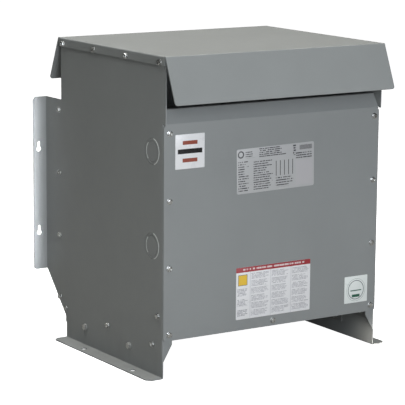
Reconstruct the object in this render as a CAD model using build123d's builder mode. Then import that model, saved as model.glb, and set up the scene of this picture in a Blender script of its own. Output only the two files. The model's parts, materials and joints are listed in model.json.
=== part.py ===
"""Ventilated dry-type distribution transformer: a floor-standing sheet-steel case with a drip hood
and built-in wall flanges, holding a three-phase core and coils on isolation pads.

Frame: +Z up, -Y towards the front cover, +Y towards the wall, origin on the floor midway between
the front hood flap's edge and the wall plane. Millimetres."""

from build123d import *
import os

os.makedirs("parts", exist_ok=True)

# ------------------------------------------------------------------ case: driving sizes
body_width = 445.0  # over the outer faces of the two side panels
body_height = 545.0  # floor to roof top
overall_depth = 448.0  # front hood flap's edge to the wall plane
hood_front_reach = 42.0  # front hood flap's edge to the panels' front flanges
sheet = 2.0  # case sheet thickness
bend = 3.0  # outer bend radius of the case sheet
seat_gap = 0.5  # play between a removable cover and the panels
screw_radius = 2.4  # case screws
screw_hole = 2.8
screw_length = 9.0
screw_flats = 7.9
screw_head = 3.0
screw_washer = 5.2  # washer's radius

side_x = body_width / 2
inner_x = side_x - sheet
front_y = -overall_depth / 2 + hood_front_reach
wall_y = overall_depth / 2

# ------------------------------------------------------------------ side panels
front_flange_width = 19.0
flange_fold_z = 29.0  # where the front flange's taper meets the web
flange_full_z = 58.0  # where the front flange reaches full width
foot_width = 28.0
foot_depth = 331.0
leg_depth = 333.8  # front face to the web's lower rear edge
foot_corner = 8.0
foot_hole_radius = 5.5
foot_hole_edge = 11.9  # foot's outer edge to the hole centre
foot_hole_front = 70.3  # front face to the front hole
foot_hole_spacing = 169.3
ear_drop = 114.0  # roof top down to the top of the front flange
ear_reach = 7.5  # ear's front edge ahead of the front face
ear_depth = 347.5  # front face to the ear's rear edge
bracket_drop = 111.6  # roof top down to the wall flange's top
bracket_bottom_z = 115.7
taper_foot_z = 41.0
wall_flange_width = 26.5
wall_flange_corner = 5.0
keyhole_x = 15.5  # web's outer face to the keyhole axis
keyhole_head_radius = 5.0
keyhole_neck_radius = 3.0
keyhole_rise = 11.0
keyhole_low_z = 183.7
keyhole_spacing = 154.3
knockout_radius = 21.9
knockout_inner_radius = 17.4
knockout_groove = 0.8
knockout_depth = 1.2
knockout_y = 35.0  # front face to the knockout centres
knockout_heights = (223.0, 383.0)
relief_radius = 2.2
knockout_tie = 3.0
knockout_tie_angle = 35.0

ear_base_z = body_height - ear_drop
bracket_top_z = body_height - bracket_drop
panel_top_z = body_height - sheet - seat_gap
foot_rear_y = front_y + foot_depth
leg_rear_y = front_y + leg_depth
ear_front_y = front_y - ear_reach
ear_rear_y = front_y + ear_depth
foot_hole_x = side_x + foot_width - foot_hole_edge
foot_hole_y = front_y + foot_hole_front
taper_wall_y = wall_y - bend

# ------------------------------------------------------------------ covers and roof
cover_bottom_z = 65.0
cover_side_gap = 0.5
cover_edge_inset = 0.4  # web's outer face to the cover's side edges, below the ears
cover_corner = 6.0
cover_slope_rise = 23.0
cover_slope_run = 13.7
cover_lip = 10.0
front_screw_inset = 11.3  # web's outer face to the cover screws
front_screw_low = 10.7  # cover's bottom edge to its lowest screws
front_screw_top = 15.5  # crease down to the highest screws
sill_screw_rise = 9.3  # cover's bottom edge to the middle screw
rear_cover_depth = 364.0  # front face to the rear cover's outer face
rear_flange = 17.0
rear_top_return = 12.0
rear_screw_inset = 10.5  # rear cover's face to its screws
rear_screw_low = 7.0
rear_screw_top = 16.3
rear_corner_gap = 0.7
rear_corner_trim = 14.0  # depth of the trim, in from the panels
roof_side_gap = 0.3
roof_front_gap = 2.5  # ears' front edges to the roof's front fold
roof_rear_gap = 5.5
roof_skirt = 16.0
roof_screw_drop = 10.6
roof_screw_front = 7.7  # front face to the first roof screw
roof_screw_span = 326.6
hood_drop = 77.0
rear_hood_reach = 33.0
hood_corner = 5.0
baffle_sheet = 1.5
baffle_bend = 2.5
baffle_flange = 14.0
baffle_set_in = 19.0  # roof's rear fold to the baffle
baffle_side_gap = 6.5
baffle_low_gap = 1.0  # rear cover's top edge to the baffle's lower edge
rows = 4  # screws along each cover edge

crease_z = ear_base_z + 1.0
cover_y = front_y - sheet
cover_half = inner_x - cover_side_gap
cover_wide_half = side_x - cover_edge_inset
cover_wide_top_z = ear_base_z - cover_edge_inset
front_screw_x = side_x - front_screw_inset
front_screw_z0 = cover_bottom_z + front_screw_low
front_screw_pitch = (crease_z - front_screw_top - front_screw_z0) / (rows - 1)
front_screw_rows = [front_screw_z0 + i * front_screw_pitch for i in range(rows)]
sill_screw_z = cover_bottom_z + sill_screw_rise
rear_y = front_y + rear_cover_depth
rear_screw_y = rear_y - rear_screw_inset
rear_screw_z0 = cover_bottom_z + rear_screw_low
rear_screw_pitch = (ear_base_z - rear_screw_top - rear_screw_z0) / (rows - 1)
rear_screw_rows = [rear_screw_z0 + i * rear_screw_pitch for i in range(rows)]
roof_half = side_x + roof_side_gap + sheet
roof_front_y = ear_front_y - roof_front_gap
roof_rear_y = ear_rear_y + roof_rear_gap
hood_edge_z = body_height - hood_drop
roof_screw_z = body_height - roof_screw_drop
roof_screw_ys = [
    front_y + roof_screw_front + i * roof_screw_span / (rows - 1) for i in range(rows)
]

# ------------------------------------------------------------------ floor of the case
pan_sheet = 1.5
pan_bend = 2.5
pan_lip = 24.0
pan_flange = 19.5
pan_flange_start = 20.0  # front face to the pan's side flanges
pan_flange_end = 337.5
pan_depth = 346.0  # front face to the pan's rear edge
pan_screw_front = 31.2
pan_screw_pitch = 150.7
pan_screw_drop = 11.0
vent_slot_length = 56.0
vent_slot_width = 7.0
vent_slot_pitch = 13.0
vent_columns = 6

pan_top_z = cover_bottom_z + 0.5
pan_low_z = pan_top_z - pan_sheet
pan_screw_z = pan_top_z - pan_screw_drop
pan_screw_ys = [front_y + pan_screw_front + i * pan_screw_pitch for i in range(3)]

# ------------------------------------------------------------------ core support
rail_width = 34.0
rail_height = 22.0
rail_sheet = 2.5
rail_bend = 3.5
rail_front = 108.1  # front face to the front rail's centre
rail_spacing = 153.4
rail_tab_drop = 39.0
rail_bolt_drop = 29.3
rail_bolt_radius = 3.0
rail_bolt_hole = 3.4
rail_bolt_length = 13.0
rail_washer = 6.0
pad_x = 105.0
pad_length = 44.0
pad_height = 10.0
mount_bolt_radius = 4.0
mount_bolt_hole = 4.5
small_flats = 10.0  # heads and nuts of the 6 mm bolts
small_head = 3.6
small_nut = 5.0
large_flats = 13.0  # heads and nuts of the 8 mm bolts
large_head = 5.0
large_nut = 6.5
large_washer = 8.0
bolt_spare = 9.0  # bolt's end past the sheet it holds
nut_play = 0.1

rail_top_z = pan_low_z
front_rail_y = front_y + rail_front
rear_rail_y = front_rail_y + rail_spacing
core_y = (front_rail_y + rear_rail_y) / 2
rail_bolt_z = rail_top_z - rail_bolt_drop
clamp_z = pan_top_z + pad_height
mount_points = [(x, y) for x in (-pad_x, pad_x) for y in (front_rail_y, rear_rail_y)]

# ------------------------------------------------------------------ core and coils
leg_width = 55.0
yoke_height = 55.0
window_height = 190.0
stack_depth = 80.0
core_lift = 3.5  # clamp foot to the lower yoke's underside
clamp_sheet = 3.0
clamp_height = 46.0
clamp_shelf = 38.0
clamp_overhang = 16.0
clamp_bolt_out = 7.5
clamp_bolt_radius = 4.0
clamp_bolt_hole = 4.4
clamp_bolt_inset = 14.0  # clamp's free edge to its bolts
coil_end_gap = 8.0
former_gap = 1.0
former_wall = 1.5
layer_gap = 0.3
inner_build = 11.0
duct = 6.0
outer_build = 10.0
phase_gap = 10.4  # between the outer windings of neighbouring legs
outer_short = 7.0  # outer winding's end below the inner winding's end
former_corner = 2.0
stick_width = 8.0
block_width = 26.0
block_depth = 70.0

former_x = leg_width + 2 * (former_gap + former_wall)
former_y = stack_depth + 2 * (former_gap + former_wall)
inner_grow = layer_gap + inner_build
outer_grow = inner_grow + duct + outer_build
leg_pitch = former_x + 2 * outer_grow + phase_gap
core_half = leg_pitch + leg_width / 2
core_front_y = core_y - stack_depth / 2
core_rear_y = core_y + stack_depth / 2
yoke_z = clamp_z + core_lift
window_z = yoke_z + yoke_height
window_top_z = window_z + window_height
core_top_z = window_top_z + yoke_height
coil_z = window_z + coil_end_gap
coil_height = window_height - 2 * coil_end_gap
clamp_half = core_half + clamp_overhang
clamp_bolt_x = core_half + clamp_bolt_out
lower_bolt_z = clamp_z + clamp_height - clamp_bolt_inset
shelf_z = core_top_z + clamp_sheet
upper_bolt_z = shelf_z - clamp_height + clamp_bolt_inset
leg_xs = [-leg_pitch, 0.0, leg_pitch]

# ------------------------------------------------------------------ terminals and leads
board_half = 155.0
board_height = 50.0
board_lift = 8.0
board_thickness = 6.0
board_screw_rise = 14.0  # board's lower edge to its screws
board_screw_length = 12.0
bracket_sheet = 2.5
bracket_width = 30.0
bracket_x = 112.0
bracket_foot = 30.0
terminal_pitch = 45.0
terminal_bolt_radius = 3.0
terminal_bolt_hole = 3.3
terminal_bolt_spare = 7.0
terminal_bolt_drop = 8.0  # lug's top to its bolt
terminal_washer = 5.5
lug_width = 16.0
lug_depth = 14.0
lug_barrel = 16.0
lug_tang = 3.0
lug_height = 38.0
primary_lead_radius = 3.5
secondary_lead_radius = 4.5
lead_gap = 0.5
lead_bend = 9.0
lead_rise = 22.0  # straight run out of the winding
lead_entry = 32.0  # straight run below the board
lead_end_gap = 3.0  # lead's end below the barrel's top
primary_lead_x = -20.0  # from each leg's centre
secondary_lead_xs = (20.0, 8.0, -2.0, 22.0)

board_z = shelf_z + board_lift
board_rear_y = core_front_y - clamp_shelf
board_front_y = board_rear_y - board_thickness
terminal_xs = [(i - 3) * terminal_pitch for i in range(7)]
primary_xs = terminal_xs[0:5:2]
secondary_xs = terminal_xs[1:6:2] + terminal_xs[6:]
lug_y = board_front_y - lug_depth / 2
terminal_bolt_z = board_z + lug_height - terminal_bolt_drop
ground_y = front_y + 15.1
ground_z = 106.0
ground_lug_width = 16.0
ground_base_height = 22.0
ground_base = 4.0
ground_barrel = 14.0
ground_wire_hole = 4.5
ground_wire_x = 8.5  # panel's inner face to the wire hole
strap_sheet = 1.0
strap_bend = 3.0
strap_half = 6.0
strap_lift = strap_sheet
strap_low = (30.0, 13.0)  # rail's front edge to the strap's lower tongue
strap_high = (5.0, 15.0)  # rail's front edge to the strap's upper tongue

# ------------------------------------------------------------------ labels on the front cover
label_thickness = 0.3
nameplate_size = (160.0, 77.0)
hazard_size = (155.0, 90.6)
efficiency_size = (50.3, 48.3)
maker_size = (57.4, 58.0)
nameplate_tilt = 1.0
label_corner = 1.5
nameplate_place = (2.2, 277.0)  # X, and height above the cover's bottom edge
hazard_place = (0.8, 64.4)
efficiency_place = (40.9, 43.3)  # in from the cover's side, and above its bottom edge
maker_place = (48.5, 47.7)  # in from the cover's side, and below the crease


# ------------------------------------------------------------------ shared shapes
def folded(points, thickness, radius, plane):
    """Section of a folded sheet: the points follow its left-hand face."""
    with BuildSketch(plane) as section:
        with BuildLine():
            FilletPolyline(*points, radius=radius)
            offset(amount=thickness, side=Side.RIGHT)
        make_face()
    return section.sketch


def outline(points, plane):
    """Closed straight-sided outline on a plane."""
    with BuildSketch(plane) as section:
        with BuildLine():
            Polyline(*points, close=True)
        make_face()
    return section.sketch


def ring(size_x, size_y, wall, corner, plane):
    """Rounded rectangular ring; the sizes are its inside and it grows outwards by the wall."""
    with BuildSketch(plane) as section:
        RectangleRounded(size_x + 2 * wall, size_y + 2 * wall, corner + wall)
        RectangleRounded(size_x, size_y, corner, mode=Mode.SUBTRACT)
    return section.sketch


def hex_screw(radius, length, flats, head, washer_radius, washer=1.0):
    """Screw on the Z axis: the washer seats on Z=0, the head stands above, the shank hangs below."""
    with BuildPart() as screw:
        with BuildSketch(Plane.XY):
            Circle(washer_radius)
        extrude(amount=washer)
        with BuildSketch(Plane.XY.offset(washer)):
            RegularPolygon(radius=flats / 2, side_count=6, major_radius=False)
        extrude(amount=head)
        chamfer(screw.faces().sort_by(Axis.Z)[-1].edges(), length=0.5)
        with BuildSketch(Plane.XY):
            Circle(radius)
        extrude(amount=-length)
        chamfer(screw.faces().sort_by(Axis.Z)[0].edges(), length=0.6)
    return screw.part


def hex_nut(bore, flats, height):
    """Nut on the Z axis, standing on Z=0."""
    with BuildPart() as nut:
        with BuildSketch(Plane.XY):
            RegularPolygon(radius=flats / 2, side_count=6, major_radius=False)
            Circle(bore, mode=Mode.SUBTRACT)
        extrude(amount=height)
    return nut.part


def side_plane(x):
    """Plane across the case at a given X; its sketches are in Y and Z."""
    return Plane.YZ.offset(x)


def front_plane(y):
    """Plane facing the front at a given Y; its sketches are in X and Z."""
    return Plane.XZ.offset(-y)


facing_front = (90, 0, 0)
facing_rear = (-90, 0, 0)
facing_left = (0, -90, 0)
facing_right = (0, 90, 0)

case_screw = hex_screw(screw_radius, screw_length, screw_flats, screw_head, screw_washer)
rail_bolt = hex_screw(rail_bolt_radius, rail_bolt_length, small_flats, small_head, rail_washer)
mount_bolt_length = clamp_sheet + pad_height + pan_sheet + rail_sheet + bolt_spare
mount_bolt = hex_screw(mount_bolt_radius, mount_bolt_length, large_flats, large_head, large_washer)
clamp_bolt_length = stack_depth + 2 * clamp_sheet + bolt_spare
clamp_bolt = hex_screw(clamp_bolt_radius, clamp_bolt_length, large_flats, large_head, large_washer)
terminal_bolt_length = lug_tang + board_thickness + terminal_bolt_spare
terminal_bolt = hex_screw(
    terminal_bolt_radius, terminal_bolt_length, small_flats, small_head, terminal_washer
)

# ------------------------------------------------------------------ side panels
with BuildPart() as panel_blank:
    # front flange, web and wall flange: one folded strip standing on the foot fold
    strip = folded(
        [
            (-side_x + front_flange_width, front_y),
            (-side_x, front_y),
            (-side_x, wall_y - sheet),
            (-side_x - wall_flange_width, wall_y - sheet),
        ],
        sheet,
        [bend, bend - sheet],
        Plane.XY.offset(flange_fold_z),
    )
    extrude(strip, amount=bracket_top_z - flange_fold_z)
    flange_end = outline(
        [
            (-inner_x, flange_fold_z - 1.0),
            (-inner_x, flange_fold_z),
            (-side_x + front_flange_width, flange_full_z),
            (-side_x + front_flange_width + 1.0, flange_full_z),
            (-side_x + front_flange_width + 1.0, flange_fold_z - 1.0),
        ],
        front_plane(front_y + bend),
    )
    extrude(flange_end, amount=bend + 1.0, mode=Mode.SUBTRACT)
    flange_top = outline(
        [
            (-inner_x, ear_base_z),
            (-inner_x, bracket_top_z + 1.0),
            (-side_x + front_flange_width + 1.0, bracket_top_z + 1.0),
            (-side_x + front_flange_width + 1.0, ear_base_z),
        ],
        front_plane(front_y + bend),
    )
    extrude(flange_top, amount=bend + 1.0, mode=Mode.SUBTRACT)
    rear_taper = outline(
        [
            (leg_rear_y, flange_fold_z - 1.0),
            (leg_rear_y, taper_foot_z),
            (taper_wall_y, bracket_bottom_z),
            (wall_y + 1.0, bracket_bottom_z),
            (wall_y + 1.0, flange_fold_z - 1.0),
        ],
        side_plane(-side_x - wall_flange_width - 1.0),
    )
    extrude(rear_taper, amount=wall_flange_width + sheet + bend, mode=Mode.SUBTRACT)
    # ear: the flat upper web, reaching forward under the roof
    ear = outline(
        [
            (ear_front_y, ear_base_z),
            (ear_front_y, panel_top_z),
            (ear_rear_y, panel_top_z),
            (ear_rear_y, ear_base_z),
        ],
        side_plane(-side_x),
    )
    extrude(ear, amount=sheet)
    # foot: the web's lower end folded outwards
    foot = folded(
        [(-inner_x, flange_fold_z), (-inner_x, 0), (-side_x - foot_width, 0)],
        sheet,
        bend,
        front_plane(foot_rear_y),
    )
    extrude(foot, amount=foot_depth)
    # trimmed corners of the foot and the wall flange
    foot_edges = panel_blank.edges().filter_by(Axis.Z).group_by(Axis.X)[0:2]
    tips = [e for group in foot_edges for e in group if e.center().Z < sheet]
    chamfer(tips, length=foot_corner)
    wall_tip_x = -side_x - wall_flange_width
    wall_tips = [
        e for e in panel_blank.edges().filter_by(Axis.Y) if abs(e.center().X - wall_tip_x) < 0.01
    ]
    lowest_tip, highest_tip = sorted(wall_tips, key=lambda e: e.center().Z)
    chamfer(highest_tip, length=wall_flange_corner)
    fillet(lowest_tip, radius=wall_flange_corner)
    # holes in the foot and the wall flange
    with BuildSketch(Plane.XY):
        with Locations(
            (-foot_hole_x, foot_hole_y), (-foot_hole_x, foot_hole_y + foot_hole_spacing)
        ):
            Circle(foot_hole_radius)
    extrude(amount=sheet, mode=Mode.SUBTRACT)
    with BuildSketch(front_plane(wall_y)):
        for z in (keyhole_low_z, keyhole_low_z + keyhole_spacing):
            with Locations((-side_x - keyhole_x, z)):
                Circle(keyhole_head_radius)
            with Locations((-side_x - keyhole_x, z + keyhole_rise / 2)):
                SlotCenterToCenter(keyhole_rise, 2 * keyhole_neck_radius, rotation=90)
    extrude(amount=sheet, mode=Mode.SUBTRACT)
    # screw holes in the front flange
    with BuildSketch(front_plane(front_y + sheet)):
        with Locations(*[(-front_screw_x, z) for z in front_screw_rows]):
            Circle(screw_hole)
    extrude(amount=sheet, mode=Mode.SUBTRACT)
    # screw holes in the web, and open notches for the roof screws
    with BuildSketch(side_plane(-side_x)):
        with Locations(*[(rear_screw_y, z) for z in rear_screw_rows]):
            Circle(screw_hole)
        with Locations(*[(y, pan_screw_z) for y in pan_screw_ys]):
            Circle(screw_hole)
        with Locations((front_rail_y, rail_bolt_z), (rear_rail_y, rail_bolt_z)):
            Circle(rail_bolt_hole)
        with Locations(*[(y, roof_screw_z) for y in roof_screw_ys]):
            Circle(screw_hole)
            Rectangle(2 * screw_hole, 20.0, align=(Align.CENTER, Align.MIN))
        with Locations((front_y, ear_base_z)):
            Circle(relief_radius)
    extrude(amount=sheet, mode=Mode.SUBTRACT)
    # knockouts: two scored rings, each left standing at two ties
    with BuildSketch(side_plane(-side_x)):
        with Locations(*[(front_y + knockout_y, z) for z in knockout_heights]):
            for radius in (knockout_radius, knockout_inner_radius):
                Circle(radius + knockout_groove / 2)
                Circle(radius - knockout_groove / 2, mode=Mode.SUBTRACT)
            Rectangle(
                2 * (knockout_radius + knockout_tie),
                knockout_tie,
                rotation=knockout_tie_angle,
                mode=Mode.SUBTRACT,
            )
    extrude(amount=knockout_depth, mode=Mode.SUBTRACT)

with BuildPart() as left_side_panel:
    add(panel_blank.part)
    with BuildSketch(side_plane(-side_x)):
        with Locations((ground_y, ground_z)):
            Circle(screw_hole)
    extrude(amount=sheet, mode=Mode.SUBTRACT)
left_side_panel.part.label = "left_side_panel"
export_step(left_side_panel.part, "parts/left_side_panel.step")

with BuildPart() as right_side_panel:
    mirror(panel_blank.part, about=Plane.YZ)
right_side_panel.part.label = "right_side_panel"
export_step(right_side_panel.part, "parts/right_side_panel.step")

# ------------------------------------------------------------------ floor pan
with BuildPart() as base_pan:
    trough = folded(
        [
            (-inner_x, pan_top_z - pan_flange),
            (-inner_x, pan_top_z),
            (inner_x, pan_top_z),
            (inner_x, pan_top_z - pan_flange),
        ],
        pan_sheet,
        pan_bend,
        front_plane(front_y + pan_depth),
    )
    extrude(trough, amount=pan_depth - pan_flange_start)
    # the side flanges stop short of the panels' tapered rear edges
    with BuildSketch(Plane.XY.offset(pan_top_z - pan_bend)):
        with Locations((0, front_y + pan_flange_end)):
            Rectangle(body_width, pan_depth, align=(Align.CENTER, Align.MIN))
    extrude(amount=-pan_flange, mode=Mode.SUBTRACT)
    # the side flanges are notched for the rails' end tabs
    for y in (front_rail_y, rear_rail_y):
        with BuildSketch(Plane.XY.offset(rail_top_z)):
            with Locations((0, y)):
                Rectangle(body_width, rail_width + 2.0)
        extrude(amount=-pan_flange, mode=Mode.SUBTRACT)
    # front edge, turned up behind the front cover
    lip = folded(
        [
            (front_y + sheet, pan_low_z + pan_lip),
            (front_y + sheet, pan_low_z),
            (front_y + pan_flange_start + 1.0, pan_low_z),
        ][::-1],
        pan_sheet,
        pan_bend,
        side_plane(0),
    )
    extrude(lip, amount=front_screw_x - 2 * screw_hole, both=True)
    with BuildSketch(front_plane(front_y + sheet + pan_sheet)):
        with Locations((0, sill_screw_z)):
            Circle(screw_hole)
    extrude(amount=pan_sheet, mode=Mode.SUBTRACT)
    for x in (-inner_x, inner_x - pan_sheet):
        with BuildSketch(side_plane(x)):
            with Locations(*[(y, pan_screw_z) for y in pan_screw_ys]):
                Circle(screw_hole)
        extrude(amount=pan_sheet, mode=Mode.SUBTRACT)
    # ventilation slots in front of, between and behind the rails
    bands = (
        (front_y + pan_flange_start, front_rail_y - rail_width / 2),
        (front_rail_y + rail_width / 2, rear_rail_y - rail_width / 2),
        (rear_rail_y + rail_width / 2, front_y + pan_depth),
    )
    for low, high in bands:
        count = int((high - low - vent_slot_pitch) // vent_slot_pitch)
        with BuildSketch(Plane.XY.offset(pan_low_z)):
            with Locations((0, (low + high) / 2)):
                with GridLocations(
                    vent_slot_length + 12.0, vent_slot_pitch, vent_columns, count
                ):
                    SlotOverall(vent_slot_length, vent_slot_width)
        extrude(amount=pan_sheet, mode=Mode.SUBTRACT)
    with BuildSketch(Plane.XY.offset(pan_low_z)):
        with Locations(*mount_points):
            Circle(mount_bolt_hole)
    extrude(amount=pan_sheet, mode=Mode.SUBTRACT)
base_pan.part.label = "base_pan"
export_step(base_pan.part, "parts/base_pan.step")

with BuildPart() as pan_screws:
    spots = [Location((-side_x, y, pan_screw_z), facing_left) for y in pan_screw_ys]
    spots += [Location((side_x, y, pan_screw_z), facing_right) for y in pan_screw_ys]
    with Locations(*spots):
        add(case_screw)
pan_screws.part.label = "pan_screws"
export_step(pan_screws.part, "parts/pan_screws.step")

# ------------------------------------------------------------------ core support rails
rail_end_x = inner_x - rail_sheet
tab_points = [(front_rail_y, rail_bolt_z), (rear_rail_y, rail_bolt_z)]

with BuildPart() as front_core_rail:
    channel = folded(
        [
            (front_rail_y + rail_width / 2, rail_top_z - rail_height),
            (front_rail_y - rail_width / 2, rail_top_z - rail_height),
            (front_rail_y - rail_width / 2, rail_top_z),
            (front_rail_y + rail_width / 2, rail_top_z),
        ],
        rail_sheet,
        rail_bend,
        side_plane(0),
    )
    extrude(channel, amount=rail_end_x, both=True)
    for x in (-inner_x, rail_end_x):
        with BuildSketch(side_plane(x)):
            with Locations((front_rail_y, rail_top_z)):
                Rectangle(rail_width, rail_tab_drop, align=(Align.CENTER, Align.MAX))
            with Locations(tab_points[0]):
                Circle(rail_bolt_hole, mode=Mode.SUBTRACT)
        extrude(amount=rail_sheet)
    with BuildSketch(Plane.XY.offset(rail_top_z)):
        with Locations((-pad_x, front_rail_y), (pad_x, front_rail_y)):
            Circle(mount_bolt_hole)
    extrude(amount=-rail_sheet, mode=Mode.SUBTRACT)
front_core_rail.part.label = "front_core_rail"
export_step(front_core_rail.part, "parts/front_core_rail.step")

with BuildPart() as rear_core_rail:
    mirror(front_core_rail.part, about=front_plane(core_y))
rear_core_rail.part.label = "rear_core_rail"
export_step(rear_core_rail.part, "parts/rear_core_rail.step")

with BuildPart() as rail_bolts:
    spots = [Location((-side_x, y, z), facing_left) for y, z in tab_points]
    spots += [Location((side_x, y, z), facing_right) for y, z in tab_points]
    with Locations(*spots):
        add(rail_bolt)
rail_bolts.part.label = "rail_bolts"
export_step(rail_bolts.part, "parts/rail_bolts.step")

with BuildPart() as rail_nuts:
    spots = [Location((-rail_end_x, y, z), facing_right) for y, z in tab_points]
    spots += [Location((rail_end_x, y, z), facing_left) for y, z in tab_points]
    with Locations(*spots):
        add(hex_nut(rail_bolt_radius + nut_play, small_flats, small_nut))
rail_nuts.part.label = "rail_nuts"
export_step(rail_nuts.part, "parts/rail_nuts.step")

# ------------------------------------------------------------------ isolation pads and their bolts
with BuildPart() as isolation_pads:
    with BuildSketch(Plane.XY.offset(pan_top_z)):
        with Locations(*mount_points):
            RectangleRounded(pad_length, rail_width, 4.0)
            Circle(mount_bolt_hole, mode=Mode.SUBTRACT)
    extrude(amount=pad_height)
isolation_pads.part.label = "isolation_pads"
export_step(isolation_pads.part, "parts/isolation_pads.step")

with BuildPart() as mounting_bolts:
    with Locations(*[(x, y, clamp_z + clamp_sheet) for x, y in mount_points]):
        add(mount_bolt)
mounting_bolts.part.label = "mounting_bolts"
export_step(mounting_bolts.part, "parts/mounting_bolts.step")

with BuildPart() as mounting_nuts:
    with Locations(*[(x, y, rail_top_z - rail_sheet - large_nut) for x, y in mount_points]):
        add(hex_nut(mount_bolt_radius + nut_play, large_flats, large_nut))
mounting_nuts.part.label = "mounting_nuts"
export_step(mounting_nuts.part, "parts/mounting_nuts.step")

# ------------------------------------------------------------------ core and its clamps
with BuildPart() as lower_front_clamp:
    angle = folded(
        [
            (core_front_y, clamp_z + clamp_height),
            (core_front_y, clamp_z),
            (front_rail_y - rail_width / 2, clamp_z),
        ],
        clamp_sheet,
        clamp_sheet + 1.0,
        side_plane(0),
    )
    extrude(angle, amount=clamp_half, both=True)
    with BuildSketch(front_plane(core_front_y)):
        with Locations((-clamp_bolt_x, lower_bolt_z), (clamp_bolt_x, lower_bolt_z)):
            Circle(clamp_bolt_hole)
    extrude(amount=clamp_sheet, mode=Mode.SUBTRACT)
    with BuildSketch(Plane.XY.offset(clamp_z)):
        with Locations((-pad_x, front_rail_y), (pad_x, front_rail_y)):
            Circle(mount_bolt_hole)
    extrude(amount=clamp_sheet, mode=Mode.SUBTRACT)
lower_front_clamp.part.label = "lower_front_clamp"
export_step(lower_front_clamp.part, "parts/lower_front_clamp.step")

with BuildPart() as lower_rear_clamp:
    mirror(lower_front_clamp.part, about=front_plane(core_y))
lower_rear_clamp.part.label = "lower_rear_clamp"
export_step(lower_rear_clamp.part, "parts/lower_rear_clamp.step")

with BuildPart() as upper_front_clamp:
    angle = folded(
        [
            (board_rear_y, shelf_z),
            (core_front_y, shelf_z),
            (core_front_y, shelf_z - clamp_height),
        ],
        clamp_sheet,
        clamp_sheet + 1.0,
        side_plane(0),
    )
    extrude(angle, amount=clamp_half, both=True)
    with BuildSketch(front_plane(core_front_y)):
        with Locations((-clamp_bolt_x, upper_bolt_z), (clamp_bolt_x, upper_bolt_z)):
            Circle(clamp_bolt_hole)
    extrude(amount=clamp_sheet, mode=Mode.SUBTRACT)
upper_front_clamp.part.label = "upper_front_clamp"
export_step(upper_front_clamp.part, "parts/upper_front_clamp.step")

with BuildPart() as upper_rear_clamp:
    mirror(upper_front_clamp.part, about=front_plane(core_y))
upper_rear_clamp.part.label = "upper_rear_clamp"
export_step(upper_rear_clamp.part, "parts/upper_rear_clamp.step")

clamp_points = [(x, z) for x in (-clamp_bolt_x, clamp_bolt_x) for z in (lower_bolt_z, upper_bolt_z)]

with BuildPart() as clamp_bolts:
    seat_y = core_front_y - clamp_sheet
    with Locations(*[Location((x, seat_y, z), facing_front) for x, z in clamp_points]):
        add(clamp_bolt)
clamp_bolts.part.label = "clamp_bolts"
export_step(clamp_bolts.part, "parts/clamp_bolts.step")

with BuildPart() as clamp_nuts:
    seat_y = core_rear_y + clamp_sheet
    with Locations(*[Location((x, seat_y, z), facing_rear) for x, z in clamp_points]):
        add(hex_nut(clamp_bolt_radius + nut_play, large_flats, large_nut))
clamp_nuts.part.label = "clamp_nuts"
export_step(clamp_nuts.part, "parts/clamp_nuts.step")

with BuildPart() as core_e_stack:
    with BuildSketch(front_plane(core_rear_y)):
        with Locations((0, yoke_z)):
            Rectangle(2 * core_half, yoke_height, align=(Align.CENTER, Align.MIN))
        with Locations(*[(x, window_z) for x in leg_xs]):
            Rectangle(leg_width, window_height, align=(Align.CENTER, Align.MIN))
    extrude(amount=stack_depth)
core_e_stack.part.label = "core_e_stack"
export_step(core_e_stack.part, "parts/core_e_stack.step")

with BuildPart() as core_top_yoke:
    with BuildSketch(front_plane(core_rear_y)):
        with Locations((0, window_top_z)):
            Rectangle(2 * core_half, yoke_height, align=(Align.CENTER, Align.MIN))
    extrude(amount=stack_depth)
core_top_yoke.part.label = "core_top_yoke"
export_step(core_top_yoke.part, "parts/core_top_yoke.step")

# ------------------------------------------------------------------ coils
former_section = ring(
    former_x - 2 * former_wall,
    former_y - 2 * former_wall,
    former_wall,
    former_corner,
    Plane.XY.offset(coil_z),
)
inner_section = ring(
    former_x + 2 * layer_gap,
    former_y + 2 * layer_gap,
    inner_build,
    former_corner + former_wall + layer_gap,
    Plane.XY.offset(coil_z),
)
outer_section = ring(
    former_x + 2 * (inner_grow + duct),
    former_y + 2 * (inner_grow + duct),
    outer_build,
    former_corner + former_wall + inner_grow + duct,
    Plane.XY.offset(coil_z + outer_short),
)

with BuildPart() as coil_formers:
    for x in leg_xs:
        extrude(Pos(x, core_y, 0) * former_section, amount=coil_height)
coil_formers.part.label = "coil_formers"
export_step(coil_formers.part, "parts/coil_formers.step")

for side, x in zip(("left", "centre", "right"), leg_xs):
    with BuildPart() as inner_winding:
        extrude(Pos(x, core_y, 0) * inner_section, amount=coil_height)
    inner_winding.part.label = f"{side}_inner_winding"
    export_step(inner_winding.part, f"parts/{side}_inner_winding.step")

    with BuildPart() as outer_winding:
        extrude(Pos(x, core_y, 0) * outer_section, amount=coil_height - 2 * outer_short)
    outer_winding.part.label = f"{side}_outer_winding"
    export_step(outer_winding.part, f"parts/{side}_outer_winding.step")

with BuildPart() as duct_sticks:
    stick = duct - 2 * layer_gap
    reach_x = former_x / 2 + inner_grow + duct / 2
    reach_y = former_y / 2 + inner_grow + duct / 2
    for x in leg_xs:
        with BuildSketch(Plane.XY.offset(coil_z)):
            with Locations((x, core_y)):
                with GridLocations(former_x / 3, 2 * reach_y, 3, 2):
                    Rectangle(stick_width, stick)
                with GridLocations(2 * reach_x, former_y / 2, 2, 2):
                    Rectangle(stick, stick_width)
        extrude(amount=coil_height)
duct_sticks.part.label = "duct_sticks"
export_step(duct_sticks.part, "parts/duct_sticks.step")

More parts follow.
